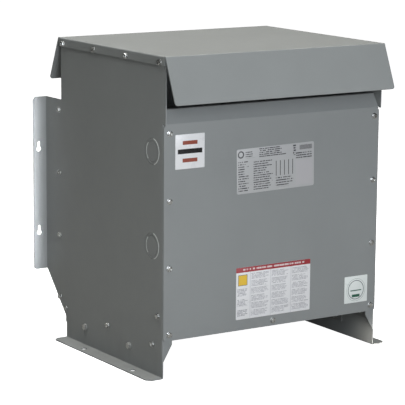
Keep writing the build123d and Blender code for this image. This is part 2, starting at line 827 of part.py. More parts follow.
with BuildPart() as coil_blocks:
    gap_xs = [-leg_pitch / 2, leg_pitch / 2]
    block_off = (leg_pitch - leg_width) / 4
    for z in (window_z, window_top_z - coil_end_gap):
        with BuildSketch(Plane.XY.offset(z)):
            for x in gap_xs:
                with Locations((x - block_off, core_y), (x + block_off, core_y)):
                    Rectangle(block_width, block_depth)
        extrude(amount=coil_end_gap)
coil_blocks.part.label = "coil_blocks"
export_step(coil_blocks.part, "parts/coil_blocks.step")

# ------------------------------------------------------------------ terminal board
with BuildPart() as board_brackets:
    for x in (-bracket_x, bracket_x):
        arm = folded(
            [
                (board_rear_y, board_z + board_height - 8.0),
                (board_rear_y, shelf_z),
                (board_rear_y + bracket_foot, shelf_z),
            ][::-1],
            bracket_sheet,
            bracket_sheet + 1.0,
            side_plane(x),
        )
        extrude(arm, amount=bracket_width / 2, both=True)
    with BuildSketch(front_plane(board_rear_y + bracket_sheet)):
        with Locations((-bracket_x, board_z + board_screw_rise), (bracket_x, board_z + board_screw_rise)):
            Circle(screw_hole)
    extrude(amount=bracket_sheet, mode=Mode.SUBTRACT)
board_brackets.part.label = "board_brackets"
export_step(board_brackets.part, "parts/board_brackets.step")

with BuildPart() as terminal_board:
    with BuildSketch(front_plane(board_rear_y)):
        with Locations((0, board_z)):
            Rectangle(2 * board_half, board_height, align=(Align.CENTER, Align.MIN))
        with Locations((-bracket_x, board_z + board_screw_rise), (bracket_x, board_z + board_screw_rise)):
            Circle(screw_hole, mode=Mode.SUBTRACT)
        with Locations(*[(x, terminal_bolt_z) for x in terminal_xs]):
            Circle(terminal_bolt_hole, mode=Mode.SUBTRACT)
    extrude(amount=board_thickness)
terminal_board.part.label = "terminal_board"
export_step(terminal_board.part, "parts/terminal_board.step")

with BuildPart() as board_screws:
    spots = [(x, board_front_y, board_z + board_screw_rise) for x in (-bracket_x, bracket_x)]
    with Locations(*[Location(spot, facing_front) for spot in spots]):
        add(hex_screw(screw_radius, board_screw_length, screw_flats, screw_head, screw_washer))
board_screws.part.label = "board_screws"
export_step(board_screws.part, "parts/board_screws.step")


def lugs(xs, lead_radius):
    """Lugs on the board's front face: a bolted tang above a barrel with an upright wire hole."""
    with BuildPart() as group:
        with BuildSketch(front_plane(board_front_y)):
            with Locations(*[(x, board_z) for x in xs]):
                Rectangle(lug_width, lug_height, align=(Align.CENTER, Align.MIN))
            with Locations(*[(x, terminal_bolt_z) for x in xs]):
                Circle(terminal_bolt_hole, mode=Mode.SUBTRACT)
        extrude(amount=lug_tang)
        with BuildSketch(front_plane(board_front_y - lug_tang)):
            with Locations(*[(x, board_z) for x in xs]):
                Rectangle(lug_width, lug_barrel, align=(Align.CENTER, Align.MIN))
        extrude(amount=lug_depth - lug_tang)
        with BuildSketch(Plane.XY.offset(board_z)):
            with Locations(*[(x, lug_y) for x in xs]):
                Circle(lead_radius + lead_gap)
        extrude(amount=lug_barrel, mode=Mode.SUBTRACT)
    return group.part


with BuildPart() as primary_lugs:
    add(lugs(primary_xs, primary_lead_radius))
primary_lugs.part.label = "primary_lugs"
export_step(primary_lugs.part, "parts/primary_lugs.step")

with BuildPart() as secondary_lugs:
    add(lugs(secondary_xs, secondary_lead_radius))
secondary_lugs.part.label = "secondary_lugs"
export_step(secondary_lugs.part, "parts/secondary_lugs.step")

with BuildPart() as terminal_bolts:
    seat_y = board_front_y - lug_tang
    with Locations(*[Location((x, seat_y, terminal_bolt_z), facing_front) for x in terminal_xs]):
        add(terminal_bolt)
terminal_bolts.part.label = "terminal_bolts"
export_step(terminal_bolts.part, "parts/terminal_bolts.step")

with BuildPart() as terminal_nuts:
    with Locations(
        *[Location((x, board_rear_y, terminal_bolt_z), facing_rear) for x in terminal_xs]
    ):
        add(hex_nut(terminal_bolt_radius + nut_play, small_flats, small_nut))
terminal_nuts.part.label = "terminal_nuts"
export_step(terminal_nuts.part, "parts/terminal_nuts.step")


# ------------------------------------------------------------------ leads from coils to lugs
def lead(start_x, start_y, start_z, end_x, radius):
    """Stiff insulated lead: up out of the winding, forward and across, then up into its lug."""
    with BuildPart() as wire:
        with BuildLine():
            FilletPolyline(
                (start_x, start_y, start_z),
                (start_x, start_y, start_z + lead_rise),
                (end_x, lug_y, board_z - lead_entry),
                (end_x, lug_y, board_z + lug_barrel - lead_end_gap),
                radius=lead_bend,
            )
        with BuildSketch(Plane((start_x, start_y, start_z), z_dir=(0, 0, 1))):
            Circle(radius)
        sweep()
    return wire.part


outer_top_z = coil_z + coil_height - outer_short
inner_top_z = coil_z + coil_height
outer_lead_y = core_y - former_y / 2 - inner_grow - duct - outer_build / 2
inner_lead_y = core_y - former_y / 2 - layer_gap - inner_build / 2

with BuildPart() as primary_leads:
    for x, end_x in zip(leg_xs, primary_xs):
        add(lead(x + primary_lead_x, outer_lead_y, outer_top_z, end_x, primary_lead_radius))
primary_leads.part.label = "primary_leads"
export_step(primary_leads.part, "parts/primary_leads.step")

with BuildPart() as secondary_leads:
    starts = zip(leg_xs + [leg_pitch], secondary_lead_xs)
    for (leg_x, offset_x), end_x in zip(starts, secondary_xs):
        add(lead(leg_x + offset_x, inner_lead_y, inner_top_z, end_x, secondary_lead_radius))
secondary_leads.part.label = "secondary_leads"
export_step(secondary_leads.part, "parts/secondary_leads.step")

# ------------------------------------------------------------------ grounding
with BuildPart() as ground_lug:
    with BuildSketch(side_plane(-inner_x)):
        with Locations((ground_y, ground_z)):
            Rectangle(ground_lug_width, ground_base_height)
            Circle(screw_radius + nut_play, mode=Mode.SUBTRACT)
    extrude(amount=ground_base)
    with BuildSketch(Plane.XY.offset(ground_z + ground_base_height / 2)):
        with Locations((-inner_x, ground_y)):
            Rectangle(ground_lug_width, ground_lug_width, align=(Align.MIN, Align.CENTER))
        with Locations((-inner_x + ground_wire_x, ground_y)):
            Circle(ground_wire_hole, mode=Mode.SUBTRACT)
    extrude(amount=ground_barrel)
ground_lug.part.label = "ground_lug"
export_step(ground_lug.part, "parts/ground_lug.step")

with BuildPart() as ground_screw:
    with Locations(Location((-side_x, ground_y, ground_z), facing_left)):
        add(case_screw)
ground_screw.part.label = "ground_screw"
export_step(ground_screw.part, "parts/ground_screw.step")

with BuildPart() as ground_strap:
    strap_end_y = front_rail_y - rail_width / 2
    strap = folded(
        [
            (strap_end_y - strap_low[0], pan_top_z + strap_lift),
            (strap_end_y - strap_low[1], pan_top_z + strap_lift),
            (strap_end_y - strap_high[0], clamp_z + clamp_sheet + strap_lift),
            (strap_end_y + strap_high[1], clamp_z + clamp_sheet + strap_lift),
        ],
        strap_sheet,
        strap_bend,
        side_plane(0),
    )
    extrude(strap, amount=strap_half, both=True)
ground_strap.part.label = "ground_strap"
export_step(ground_strap.part, "parts/ground_strap.step")

# ------------------------------------------------------------------ front cover and its labels
with BuildPart() as front_cover:
    profile = folded(
        [
            (cover_y, cover_bottom_z),
            (cover_y, crease_z),
            (cover_y + cover_slope_run, crease_z + cover_slope_rise),
            (cover_y + cover_slope_run + cover_lip, crease_z + cover_slope_rise),
        ],
        sheet,
        bend,
        side_plane(0),
    )
    extrude(profile, amount=cover_half, both=True)
    # below the ears the cover's flat part reaches out over the panels' front bends
    with BuildSketch(front_plane(front_y)) as flat:
        with Locations((0, cover_bottom_z)):
            Rectangle(
                2 * cover_wide_half,
                cover_wide_top_z - cover_bottom_z,
                align=(Align.CENTER, Align.MIN),
            )
        fillet(flat.vertices().group_by(Axis.Z)[-1], radius=cover_corner)
    extrude(amount=sheet)
    with BuildSketch(front_plane(front_y)):
        for x in (-front_screw_x, front_screw_x):
            with Locations(*[(x, z) for z in front_screw_rows]):
                Circle(screw_hole)
        with Locations((0, sill_screw_z)):
            Circle(screw_hole)
    extrude(amount=sheet, mode=Mode.SUBTRACT)
front_cover.part.label = "front_cover"
export_step(front_cover.part, "parts/front_cover.step")

with BuildPart() as front_cover_screws:
    spots = [(x, cover_y, z) for x in (-front_screw_x, front_screw_x) for z in front_screw_rows]
    spots.append((0, cover_y, sill_screw_z))
    with Locations(*[Location(spot, facing_front) for spot in spots]):
        add(case_screw)
front_cover_screws.part.label = "front_cover_screws"
export_step(front_cover_screws.part, "parts/front_cover_screws.step")


def label_plate(size, x, z, tilt=0.0):
    """Thin rounded label lying on the front cover's outer face."""
    with BuildPart() as plate:
        with BuildSketch(front_plane(cover_y)):
            with Locations(Location((x, z), tilt)):
                RectangleRounded(*size, label_corner)
        extrude(amount=label_thickness)
    return plate.part


with BuildPart() as nameplate:
    add(label_plate(nameplate_size, nameplate_place[0], cover_bottom_z + nameplate_place[1], nameplate_tilt))
nameplate.part.label = "nameplate"
export_step(nameplate.part, "parts/nameplate.step")

with BuildPart() as hazard_label:
    add(label_plate(hazard_size, hazard_place[0], cover_bottom_z + hazard_place[1]))
hazard_label.part.label = "hazard_label"
export_step(hazard_label.part, "parts/hazard_label.step")

with BuildPart() as efficiency_label:
    add(label_plate(efficiency_size, cover_half - efficiency_place[0], cover_bottom_z + efficiency_place[1]))
efficiency_label.part.label = "efficiency_label"
export_step(efficiency_label.part, "parts/efficiency_label.step")

with BuildPart() as maker_label:
    add(label_plate(maker_size, maker_place[0] - cover_half, crease_z - maker_place[1]))
maker_label.part.label = "maker_label"
export_step(maker_label.part, "parts/maker_label.step")

# ------------------------------------------------------------------ rear cover
with BuildPart() as rear_cover:
    tray = folded(
        [
            (-cover_half, rear_y - rear_flange),
            (-cover_half, rear_y),
            (cover_half, rear_y),
            (cover_half, rear_y - rear_flange),
        ],
        sheet,
        bend,
        Plane.XY.offset(cover_bottom_z),
    )
    extrude(tray, amount=ear_base_z - bend - cover_bottom_z)
    top_return = folded(
        [
            (rear_y - rear_top_return, ear_base_z),
            (rear_y, ear_base_z),
            (rear_y, ear_base_z - 2 * bend),
        ],
        sheet,
        bend,
        side_plane(0),
    )
    extrude(top_return, amount=cover_half - bend, both=True)
    # lower corners trimmed along the panels' tapered edges
    corner = outline(
        [
            (leg_rear_y - rear_corner_gap, cover_bottom_z - 30.0),
            (leg_rear_y - rear_corner_gap, taper_foot_z),
            (taper_wall_y - rear_corner_gap, bracket_bottom_z),
            (wall_y, bracket_bottom_z),
            (wall_y, cover_bottom_z - 30.0),
        ],
        side_plane(0),
    )
    for x in (-side_x, side_x - rear_corner_trim):
        extrude(Pos(x, 0, 0) * corner, amount=rear_corner_trim, mode=Mode.SUBTRACT)
    # open notches that slip over the slackened side screws
    for x in (-cover_half, cover_half - sheet):
        with BuildSketch(side_plane(x)):
            with Locations(*[(rear_screw_y, z) for z in rear_screw_rows]):
                Circle(screw_hole)
                Rectangle(rear_flange, 2 * screw_hole, align=(Align.MAX, Align.CENTER))
        extrude(amount=sheet, mode=Mode.SUBTRACT)
rear_cover.part.label = "rear_cover"
export_step(rear_cover.part, "parts/rear_cover.step")

with BuildPart() as rear_cover_screws:
    spots = [Location((-side_x, rear_screw_y, z), facing_left) for z in rear_screw_rows]
    spots += [Location((side_x, rear_screw_y, z), facing_right) for z in rear_screw_rows]
    with Locations(*spots):
        add(case_screw)
rear_cover_screws.part.label = "rear_cover_screws"
export_step(rear_cover_screws.part, "parts/rear_cover_screws.step")

# ------------------------------------------------------------------ roof
with BuildPart() as roof:
    hood = folded(
        [
            (-overall_depth / 2, hood_edge_z),
            (roof_front_y, body_height),
            (roof_rear_y, body_height),
            (roof_rear_y + rear_hood_reach, hood_edge_z),
        ],
        sheet,
        bend,
        side_plane(0),
    )
    extrude(hood, amount=roof_half, both=True)
    hood_tips = [e for e in roof.edges() if e.length < 1.5 * sheet and e.center().Z < hood_edge_z + 2]
    fillet(hood_tips, radius=hood_corner)
    # skirts: the roof's side edges folded down over the panels
    skirt_start_y = roof_front_y + bend
    skirt_end_y = roof_rear_y - bend
    for x in (-roof_half, roof_half - bend):
        with BuildSketch(Plane.XY.offset(body_height - sheet)):
            with Locations((x, skirt_start_y)):
                Rectangle(bend, skirt_end_y - skirt_start_y, align=(Align.MIN, Align.MIN))
        extrude(amount=sheet, mode=Mode.SUBTRACT)
    skirt = folded(
        [
            (roof_half - 3 * bend, body_height),
            (roof_half, body_height),
            (roof_half, body_height - roof_skirt),
        ],
        sheet,
        bend,
        front_plane(skirt_end_y),
    )
    extrude(skirt, amount=skirt_end_y - skirt_start_y)
    extrude(mirror(skirt, about=Plane.YZ, mode=Mode.PRIVATE), amount=skirt_end_y - skirt_start_y)
    for x in (-roof_half, roof_half - sheet):
        with BuildSketch(side_plane(x)):
            with Locations(*[(y, roof_screw_z) for y in roof_screw_ys]):
                Circle(screw_hole)
        extrude(amount=sheet, mode=Mode.SUBTRACT)
roof.part.label = "roof"
export_step(roof.part, "parts/roof.step")

# ------------------------------------------------------------------ baffle that shades the rear vent
with BuildPart() as rear_baffle:
    hanger = folded(
        [
            (roof_rear_y - baffle_set_in - baffle_flange, body_height - sheet),
            (roof_rear_y - baffle_set_in, body_height - sheet),
            (roof_rear_y - baffle_set_in, ear_base_z + baffle_low_gap),
        ],
        baffle_sheet,
        baffle_bend,
        side_plane(0),
    )
    extrude(hanger, amount=inner_x - baffle_side_gap, both=True)
rear_baffle.part.label = "rear_baffle"
export_step(rear_baffle.part, "parts/rear_baffle.step")

with BuildPart() as roof_screws:
    spots = [Location((-roof_half, y, roof_screw_z), facing_left) for y in roof_screw_ys]
    spots += [Location((roof_half, y, roof_screw_z), facing_right) for y in roof_screw_ys]
    with Locations(*spots):
        add(case_screw)
roof_screws.part.label = "roof_screws"
export_step(roof_screws.part, "parts/roof_screws.step")
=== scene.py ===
import json
import math

import bmesh
import bpy
from mathutils import Matrix, Vector


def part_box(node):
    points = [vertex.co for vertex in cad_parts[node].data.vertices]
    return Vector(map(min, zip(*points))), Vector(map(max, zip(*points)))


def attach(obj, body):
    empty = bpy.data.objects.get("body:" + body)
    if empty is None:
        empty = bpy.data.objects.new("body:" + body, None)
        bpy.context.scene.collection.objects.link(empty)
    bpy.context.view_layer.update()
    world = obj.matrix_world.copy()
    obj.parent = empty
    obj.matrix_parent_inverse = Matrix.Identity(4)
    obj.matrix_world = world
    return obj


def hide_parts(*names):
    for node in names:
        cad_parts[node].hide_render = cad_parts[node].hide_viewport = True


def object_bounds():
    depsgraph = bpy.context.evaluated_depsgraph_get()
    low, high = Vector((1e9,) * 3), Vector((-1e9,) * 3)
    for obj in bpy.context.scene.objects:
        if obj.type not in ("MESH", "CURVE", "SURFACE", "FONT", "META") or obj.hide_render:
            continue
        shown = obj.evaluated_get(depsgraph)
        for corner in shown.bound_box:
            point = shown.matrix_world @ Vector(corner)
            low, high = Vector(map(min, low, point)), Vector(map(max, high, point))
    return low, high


# Looks of a ventilated dry-type transformer: baked enamel, fasteners, labels, windings and core.
# Metres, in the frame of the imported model: +Z up, -Y towards the front cover, +Y towards the wall.

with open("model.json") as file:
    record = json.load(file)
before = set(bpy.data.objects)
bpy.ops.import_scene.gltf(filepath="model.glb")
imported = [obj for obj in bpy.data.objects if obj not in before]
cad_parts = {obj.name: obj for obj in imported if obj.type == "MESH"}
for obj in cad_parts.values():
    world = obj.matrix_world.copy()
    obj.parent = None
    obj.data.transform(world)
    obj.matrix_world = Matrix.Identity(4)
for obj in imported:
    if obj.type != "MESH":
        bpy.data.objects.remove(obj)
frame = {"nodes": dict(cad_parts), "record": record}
cad_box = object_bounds()
nodes = frame["nodes"]
body_of_node = {
    name: body for body, members in frame["record"]["behaviour"]["bodies"].items() for name in members
}
MM = 0.001
LEFT, RIGHT = Vector((-1, 0, 0)), Vector((1, 0, 0))
FRONT = Vector((0, -1, 0))
UP = Vector((0, 0, 1))


# ------------------------------------------------------------------ reading the frame
def solids_in(node):
    """Lowest and highest corners of the separate solids in a CAD node."""
    form = bmesh.new()
    form.from_mesh(nodes[node].data)
    bmesh.ops.remove_doubles(form, verts=form.verts, dist=1e-6)
    waiting = set(form.verts)
    boxes = []
    while waiting:
        island = [waiting.pop()]
        for vert in island:
            for edge in vert.link_edges:
                other = edge.other_vert(vert)
                if other in waiting:
                    waiting.remove(other)
                    island.append(other)
        low = Vector([min(vert.co[axis] for vert in island) for axis in range(3)])
        high = Vector([max(vert.co[axis] for vert in island) for axis in range(3)])
        boxes.append((low, high))
    form.free()
    return sorted(boxes, key=lambda box: tuple(round(value, 5) for value in (box[0] + box[1])))


# ------------------------------------------------------------------ modelling steps
def deselect_all():
    bpy.ops.object.select_all(action="DESELECT")


def name_new(name):
    """Names the primitive that was just added."""
    piece = bpy.context.active_object
    piece.name = name
    piece.data.name = name
    return piece


def begin_edit(piece, mode="FACE"):
    """Opens the piece in edit mode with nothing selected."""
    deselect_all()
    bpy.context.view_layer.objects.active = piece
    piece.select_set(True)
    bpy.ops.object.mode_set(mode="EDIT")
    bpy.ops.mesh.select_mode(type=mode)
    bpy.ops.mesh.select_all(action="DESELECT")


def end_edit():
    bpy.ops.object.mode_set(mode="OBJECT")
    deselect_all()


def pick_faces(piece, test):
    """Selects only the faces whose centre and normal pass the test."""
    bpy.ops.mesh.select_all(action="DESELECT")
    form = bmesh.from_edit_mesh(piece.data)
    for face in form.faces:
        if test(face.calc_center_median(), face.normal):
            face.select_set(True)
    bmesh.update_edit_mesh(piece.data)


def pick_edges(piece, test):
    """Selects only the edges whose two ends pass the test."""
    bpy.ops.mesh.select_all(action="DESELECT")
    form = bmesh.from_edit_mesh(piece.data)
    for edge in form.edges:
        if test(edge.verts[0].co, edge.verts[1].co):
            edge.select_set(True)
    bmesh.update_edit_mesh(piece.data)


def extrude(move):
    bpy.ops.mesh.extrude_region_move(TRANSFORM_OT_translate={"value": move})


def scale_about(centre, factors):
    bpy.ops.transform.resize(value=factors, center_override=centre)


def settle(piece, smooth_angle=math.radians(35)):
    """Puts the piece's place into its mesh, turns its faces outwards and shades it."""
    deselect_all()
    bpy.context.view_layer.objects.active = piece
    piece.select_set(True)
    bpy.ops.object.transform_apply(location=True, rotation=True, scale=True)
    bpy.ops.object.mode_set(mode="EDIT")
    bpy.ops.mesh.select_all(action="SELECT")
    bpy.ops.mesh.normals_make_consistent(inside=False)
    bpy.ops.object.mode_set(mode="OBJECT")
    bpy.ops.object.shade_smooth_by_angle(angle=smooth_angle)
    deselect_all()
    return piece


def join(name, parts):
    """Makes one piece of several."""
    deselect_all()
    for part in parts:
        part.select_set(True)
    bpy.context.view_layer.objects.active = parts[0]
    if len(parts) > 1:
        bpy.ops.object.join()
    parts[0].name = name
    parts[0].data.name = name
    deselect_all()
    return parts[0]


def twin(piece, place):
    """A copy with its own mesh, moved by a matrix."""
    copy = piece.copy()
    copy.data = piece.data.copy()
    copy.data.transform(place)
    bpy.context.scene.collection.objects.link(copy)
    return copy


def drop(piece):
    bpy.data.objects.remove(piece)


def facing(direction, point, roll=0.0):
    """Matrix that turns the piece's +Z to a direction, rolls it about that line and moves it to a point."""
    turn = UP.rotation_difference(direction).to_matrix().to_4x4()
    return Matrix.Translation(point) @ turn @ Matrix.Rotation(roll, 4, "Z")


def finish_piece(piece, body, slot, material, *replaced):
    piece.data.materials.clear()
    piece.data.materials.append(material)
    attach(piece, body)
    if replaced:
        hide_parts(*replaced)


# ------------------------------------------------------------------ node building
def feed(tree, socket, value):
    if isinstance(value, bpy.types.NodeSocket):
        tree.links.new(value, socket)
    elif isinstance(value, (tuple, list)) and socket.type == "RGBA" and len(value) == 3:
        socket.default_value = (*value, 1.0)
    else:
        socket.default_value = value


def maths(tree, operation, *values, clamp=False):
    made = tree.nodes.new("ShaderNodeMath")
    made.operation = operation
    made.use_clamp = clamp
    for socket, value in zip(made.inputs, values):
        feed(tree, socket, value)
    return made.outputs[0]


def noise(tree, vector, scale, detail=2.0, roughness=0.5, stretch=None):
    """Noise about 0.5, on a vector that may be stretched first."""
    if stretch:
        mapping = tree.nodes.new("ShaderNodeMapping")
        feed(tree, mapping.inputs["Vector"], vector)
        mapping.inputs["Scale"].default_value = stretch
        vector = mapping.outputs["Vector"]
    made = tree.nodes.new("ShaderNodeTexNoise")
    feed(tree, made.inputs["Vector"], vector)
    feed(tree, made.inputs["Scale"], scale)
    feed(tree, made.inputs["Detail"], detail)
    feed(tree, made.inputs["Roughness"], roughness)
    return made.outputs["Fac"]


def ramp(tree, value, low, high, out_low=0.0, out_high=1.0):
    """Straight ramp between two values, held at both ends."""
    made = tree.nodes.new("ShaderNodeMapRange")
    feed(tree, made.inputs["Value"], value)
    feed(tree, made.inputs["From Min"], low)
    feed(tree, made.inputs["From Max"], high)
    feed(tree, made.inputs["To Min"], out_low)
    feed(tree, made.inputs["To Max"], out_high)
    return made.outputs["Result"]


def blend_colours(tree, factor, first, second, mode="MIX"):
    made = tree.nodes.new("ShaderNodeMix")
    made.data_type = "RGBA"
    made.blend_type = mode
    feed(tree, made.inputs["Factor"], factor)
    feed(tree, made.inputs[6], first)
    feed(tree, made.inputs[7], second)
    return made.outputs[2]


def scaled_colour(tree, colour, value):
    """The colour times a value that varies over the surface."""
    made = tree.nodes.new("ShaderNodeVectorMath")
    made.operation = "SCALE"
    feed(tree, made.inputs[0], colour)
    feed(tree, made.inputs["Scale"], value)
    return made.outputs[0]


def coordinates(tree):
    return tree.nodes.new("ShaderNodeTexCoord").outputs["Object"]


def split(tree, vector):
    made = tree.nodes.new("ShaderNodeSeparateXYZ")
    feed(tree, made.inputs[0], vector)
    return made.outputs[0], made.outputs[1], made.outputs[2]


def normal_height(tree, height, strength, distance):
    """Normal from a Bump node."""
    made = tree.nodes.new("ShaderNodeBump")
    made.inputs["Strength"].default_value = strength
    made.inputs["Distance"].default_value = distance
    feed(tree, made.inputs["Height"], height)
    return made.outputs["Normal"]


def new_group(name, inputs, outputs):
    """Empty node group; inputs and outputs are (name, kind, default) rows."""
    group = bpy.data.node_groups.new(name, "ShaderNodeTree")
    for label, kind, default in inputs:
        socket = group.interface.new_socket(label, in_out="INPUT", socket_type=kind)
        if default is not None:
            socket.default_value = default
    for label, kind in outputs:
        group.interface.new_socket(label, in_out="OUTPUT", socket_type=kind)
    entry = group.nodes.new("NodeGroupInput")
    leave = group.nodes.new("NodeGroupOutput")
    return group, entry.outputs, leave.inputs


def use_group(tree, group, **values):
    made = tree.nodes.new("ShaderNodeGroup")
    made.node_tree = group
    for label, value in values.items():
        feed(tree, made.inputs[label.replace("_", " ")], value)
    return made.outputs


def new_material(name):
    material = bpy.data.materials.new(name)
    material.use_nodes = True
    tree = material.node_tree
    shader = tree.nodes["Principled BSDF"]
    return material, tree, shader


FLOAT, COLOUR = "NodeSocketFloat", "NodeSocketColor"


# ------------------------------------------------------------------ effects shared by the finishes
DUST = (0.46, 0.46, 0.45)
FLOOR_GRIME = (0.16, 0.15, 0.13)
GRIME_HEIGHT = 110.0 * MM
HAIRLINE = (0.55, 0.56, 0.56)
AREA = ("Left", "Right", "Bottom", "Top")


def make_enamel():
    """Baked enamel: orange peel, faint mottle, dust on level faces, hairline marks and grime low down."""
    group, given, out = new_group(
        "baked_enamel",
        [("Colour", COLOUR, None), ("Roughness", FLOAT, 0.4), ("Dust", FLOAT, 0.3), ("Grime", FLOAT, 0.3)],
        [("Colour", COLOUR), ("Roughness", FLOAT), ("Height", FLOAT)],
    )
    place = coordinates(group)
    _, _, height_above_floor = split(group, place)
    facing_up = split(group, group.nodes.new("ShaderNodeNewGeometry").outputs["Normal"])[2]
    mottle = noise(group, place, 9.0, 4.0, 0.55)
    flow = noise(group, place, 60.0, 3.0, 0.6)
    speck = noise(group, place, 1400.0, 1.0)
    mottle_shade = ramp(group, mottle, 0.3, 0.7, 0.972, 1.028)
    shade = maths(group, "ADD", mottle_shade, ramp(group, speck, 0.2, 0.8, -0.02, 0.02))
    colour = scaled_colour(group, given["Colour"], shade)

    level = ramp(group, facing_up, 0.55, 0.98)
    dust = maths(group, "MULTIPLY", level, ramp(group, flow, 0.3, 0.75, 0.72, 1.0))
    dust = maths(group, "MULTIPLY", dust, given["Dust"], clamp=True)
    colour = blend_colours(group, dust, colour, DUST)

    low = ramp(group, height_above_floor, 0.0, GRIME_HEIGHT, 1.0, 0.0)
    streaks = ramp(group, noise(group, place, 26.0, 5.0, 0.65, stretch=(1.0, 1.0, 0.22)), 0.42, 0.75)
    grime = maths(group, "MULTIPLY", maths(group, "MULTIPLY", low, streaks), given["Grime"], clamp=True)
    colour = blend_colours(group, grime, colour, FLOOR_GRIME)

    hair = noise(group, place, 34.0, 6.0, 0.7, stretch=(0.35, 0.35, 6.0))
    hairline = maths(group, "COMPARE", hair, 0.5, 0.0028)
    patch = ramp(group, noise(group, place, 5.0, 2.0), 0.55, 0.68)
    mark = maths(group, "MULTIPLY", hairline, patch)
    colour = blend_colours(group, maths(group, "MULTIPLY", mark, 0.14), colour, HAIRLINE)

    rough = maths(group, "ADD", given["Roughness"], ramp(group, flow, 0.25, 0.75, -0.045, 0.045))
    rough = maths(group, "ADD", rough, maths(group, "MULTIPLY", dust, 0.35))
    rough = maths(group, "ADD", rough, maths(group, "MULTIPLY", grime, 0.3))

    peel = maths(group, "MULTIPLY", noise(group, place, 330.0, 2.0, 0.45), 0.7)
    sag = maths(group, "MULTIPLY", noise(group, place, 70.0, 1.0), 0.9)
    height = maths(group, "ADD", peel, sag)
    height = maths(group, "SUBTRACT", height, maths(group, "MULTIPLY", mark, 0.25))
    feed(group, out["Colour"], colour)
    feed(group, out["Roughness"], rough)
    feed(group, out["Height"], height)
    return group


def make_plating():
    """Plated metal: cloudy tone, fine pits and rubbed, duller patches."""
    group, given, out = new_group(
        "plating",
        [
            ("Colour", COLOUR, None), ("Roughness", FLOAT, 0.3),
            ("Tarnish", FLOAT, 0.3), ("Tint", COLOUR, None),
        ],
        [("Colour", COLOUR), ("Roughness", FLOAT), ("Height", FLOAT)],
    )
    place = coordinates(group)
    cloud = noise(group, place, 180.0, 4.0, 0.6)
    pits = noise(group, place, 2600.0, 2.0, 0.6)
    tarnish = maths(group, "MULTIPLY", ramp(group, cloud, 0.42, 0.66), given["Tarnish"], clamp=True)
    colour = scaled_colour(group, given["Colour"], ramp(group, pits, 0.25, 0.75, 0.93, 1.05))
    colour = blend_colours(group, tarnish, colour, given["Tint"])
    rough = maths(group, "ADD", given["Roughness"], maths(group, "MULTIPLY", tarnish, 0.35))
    rough = maths(group, "ADD", rough, ramp(group, pits, 0.3, 0.7, -0.04, 0.04))
    feed(group, out["Colour"], colour)
    feed(group, out["Roughness"], rough)
    feed(group, out["Height"], maths(group, "ADD", maths(group, "MULTIPLY", pits, 0.6), cloud))
    return group


def make_stripes():
    """Even lines across one direction, uneven in tone from line to line, as in a stack or a winding."""
    group, given, out = new_group(
        "stacked_lines",
        [("Across", FLOAT, 0.0), ("Pitch", FLOAT, 0.001), ("Gap", FLOAT, 0.2)],
        [("Groove", FLOAT), ("Tone", FLOAT)],
    )
    steps = maths(group, "DIVIDE", given["Across"], given["Pitch"])
    within = maths(group, "FRACT", steps)
    from_middle = maths(group, "ABSOLUTE", maths(group, "SUBTRACT", within, 0.5))
    edge = maths(group, "SUBTRACT", 0.5, maths(group, "MULTIPLY", given["Gap"], 0.5))
    groove = ramp(group, from_middle, maths(group, "MULTIPLY", edge, 0.86), edge)
    line = group.nodes.new("ShaderNodeTexWhiteNoise")
    line.noise_dimensions = "1D"
    feed(group, line.inputs["W"], maths(group, "FLOOR", steps))
    feed(group, out["Groove"], groove)
    feed(group, out["Tone"], line.outputs["Value"])
    return group


def make_block_print():
    """Mask that is 1 inside a rectangle."""
    group, given, out = new_group(
        "print_block",
        [(label, FLOAT, 0.0) for label in ("Across", "Up", *AREA)],
        [("Mask", FLOAT)],
    )
    mask = maths(group, "GREATER_THAN", given["Across"], given["Left"])
    for operation, value, limit in (
        ("LESS_THAN", "Across", "Right"),
        ("GREATER_THAN", "Up", "Bottom"),
        ("LESS_THAN", "Up", "Top"),
    ):
        mask = maths(group, "MULTIPLY", mask, maths(group, operation, given[value], given[limit]))
    feed(group, out["Mask"], mask)
    return group


def make_line_print(block):
    """Mask of small unreadable dashes set in lines inside a rectangle, with ragged ends."""
    group, given, out = new_group(
        "print_lines",
        [
            *((label, FLOAT, 0.0) for label in ("Across", "Up", *AREA)),
            ("Pitch", FLOAT, 0.003), ("Weight", FLOAT, 0.5), ("Ragged", FLOAT, 0.3), ("Seed", FLOAT, 0.0),
            ("Paragraph", FLOAT, 1.0), ("Filled", FLOAT, 1.0),
        ],
        [("Mask", FLOAT)],
    )
    below_top = maths(group, "SUBTRACT", given["Top"], given["Up"])
    steps = maths(group, "DIVIDE", below_top, given["Pitch"])
    line_number = maths(group, "ADD", maths(group, "FLOOR", steps), given["Seed"])
    in_line = maths(group, "LESS_THAN", maths(group, "FRACT", steps), given["Weight"])
    length = group.nodes.new("ShaderNodeTexWhiteNoise")
    length.noise_dimensions = "1D"
    feed(group, length.inputs["W"], line_number)
    width = maths(group, "SUBTRACT", given["Right"], given["Left"])
    short = maths(group, "MULTIPLY", length.outputs["Value"], given["Ragged"])
    short = maths(group, "MULTIPLY", short, width)
    joined = group.nodes.new("ShaderNodeCombineXYZ")
    feed(group, joined.inputs[0], given["Across"])
    feed(group, joined.inputs[1], maths(group, "MULTIPLY", line_number, 7.31))
    words = maths(group, "GREATER_THAN", noise(group, joined.outputs[0], 620.0, 0.0), 0.4)
    area = use_group(
        group, block, Across=given["Across"], Up=given["Up"], Left=given["Left"],
        Right=maths(group, "SUBTRACT", given["Right"], short), Bottom=given["Bottom"], Top=given["Top"],
    )["Mask"]
    paragraphs = maths(group, "DIVIDE", below_top, given["Paragraph"])
    in_paragraph = maths(group, "LESS_THAN", maths(group, "FRACT", paragraphs), given["Filled"])
    dashes = maths(group, "MULTIPLY", in_line, words)
    mask = maths(group, "MULTIPLY", dashes, maths(group, "MULTIPLY", area, in_paragraph))
    feed(group, out["Mask"], mask)
    return group


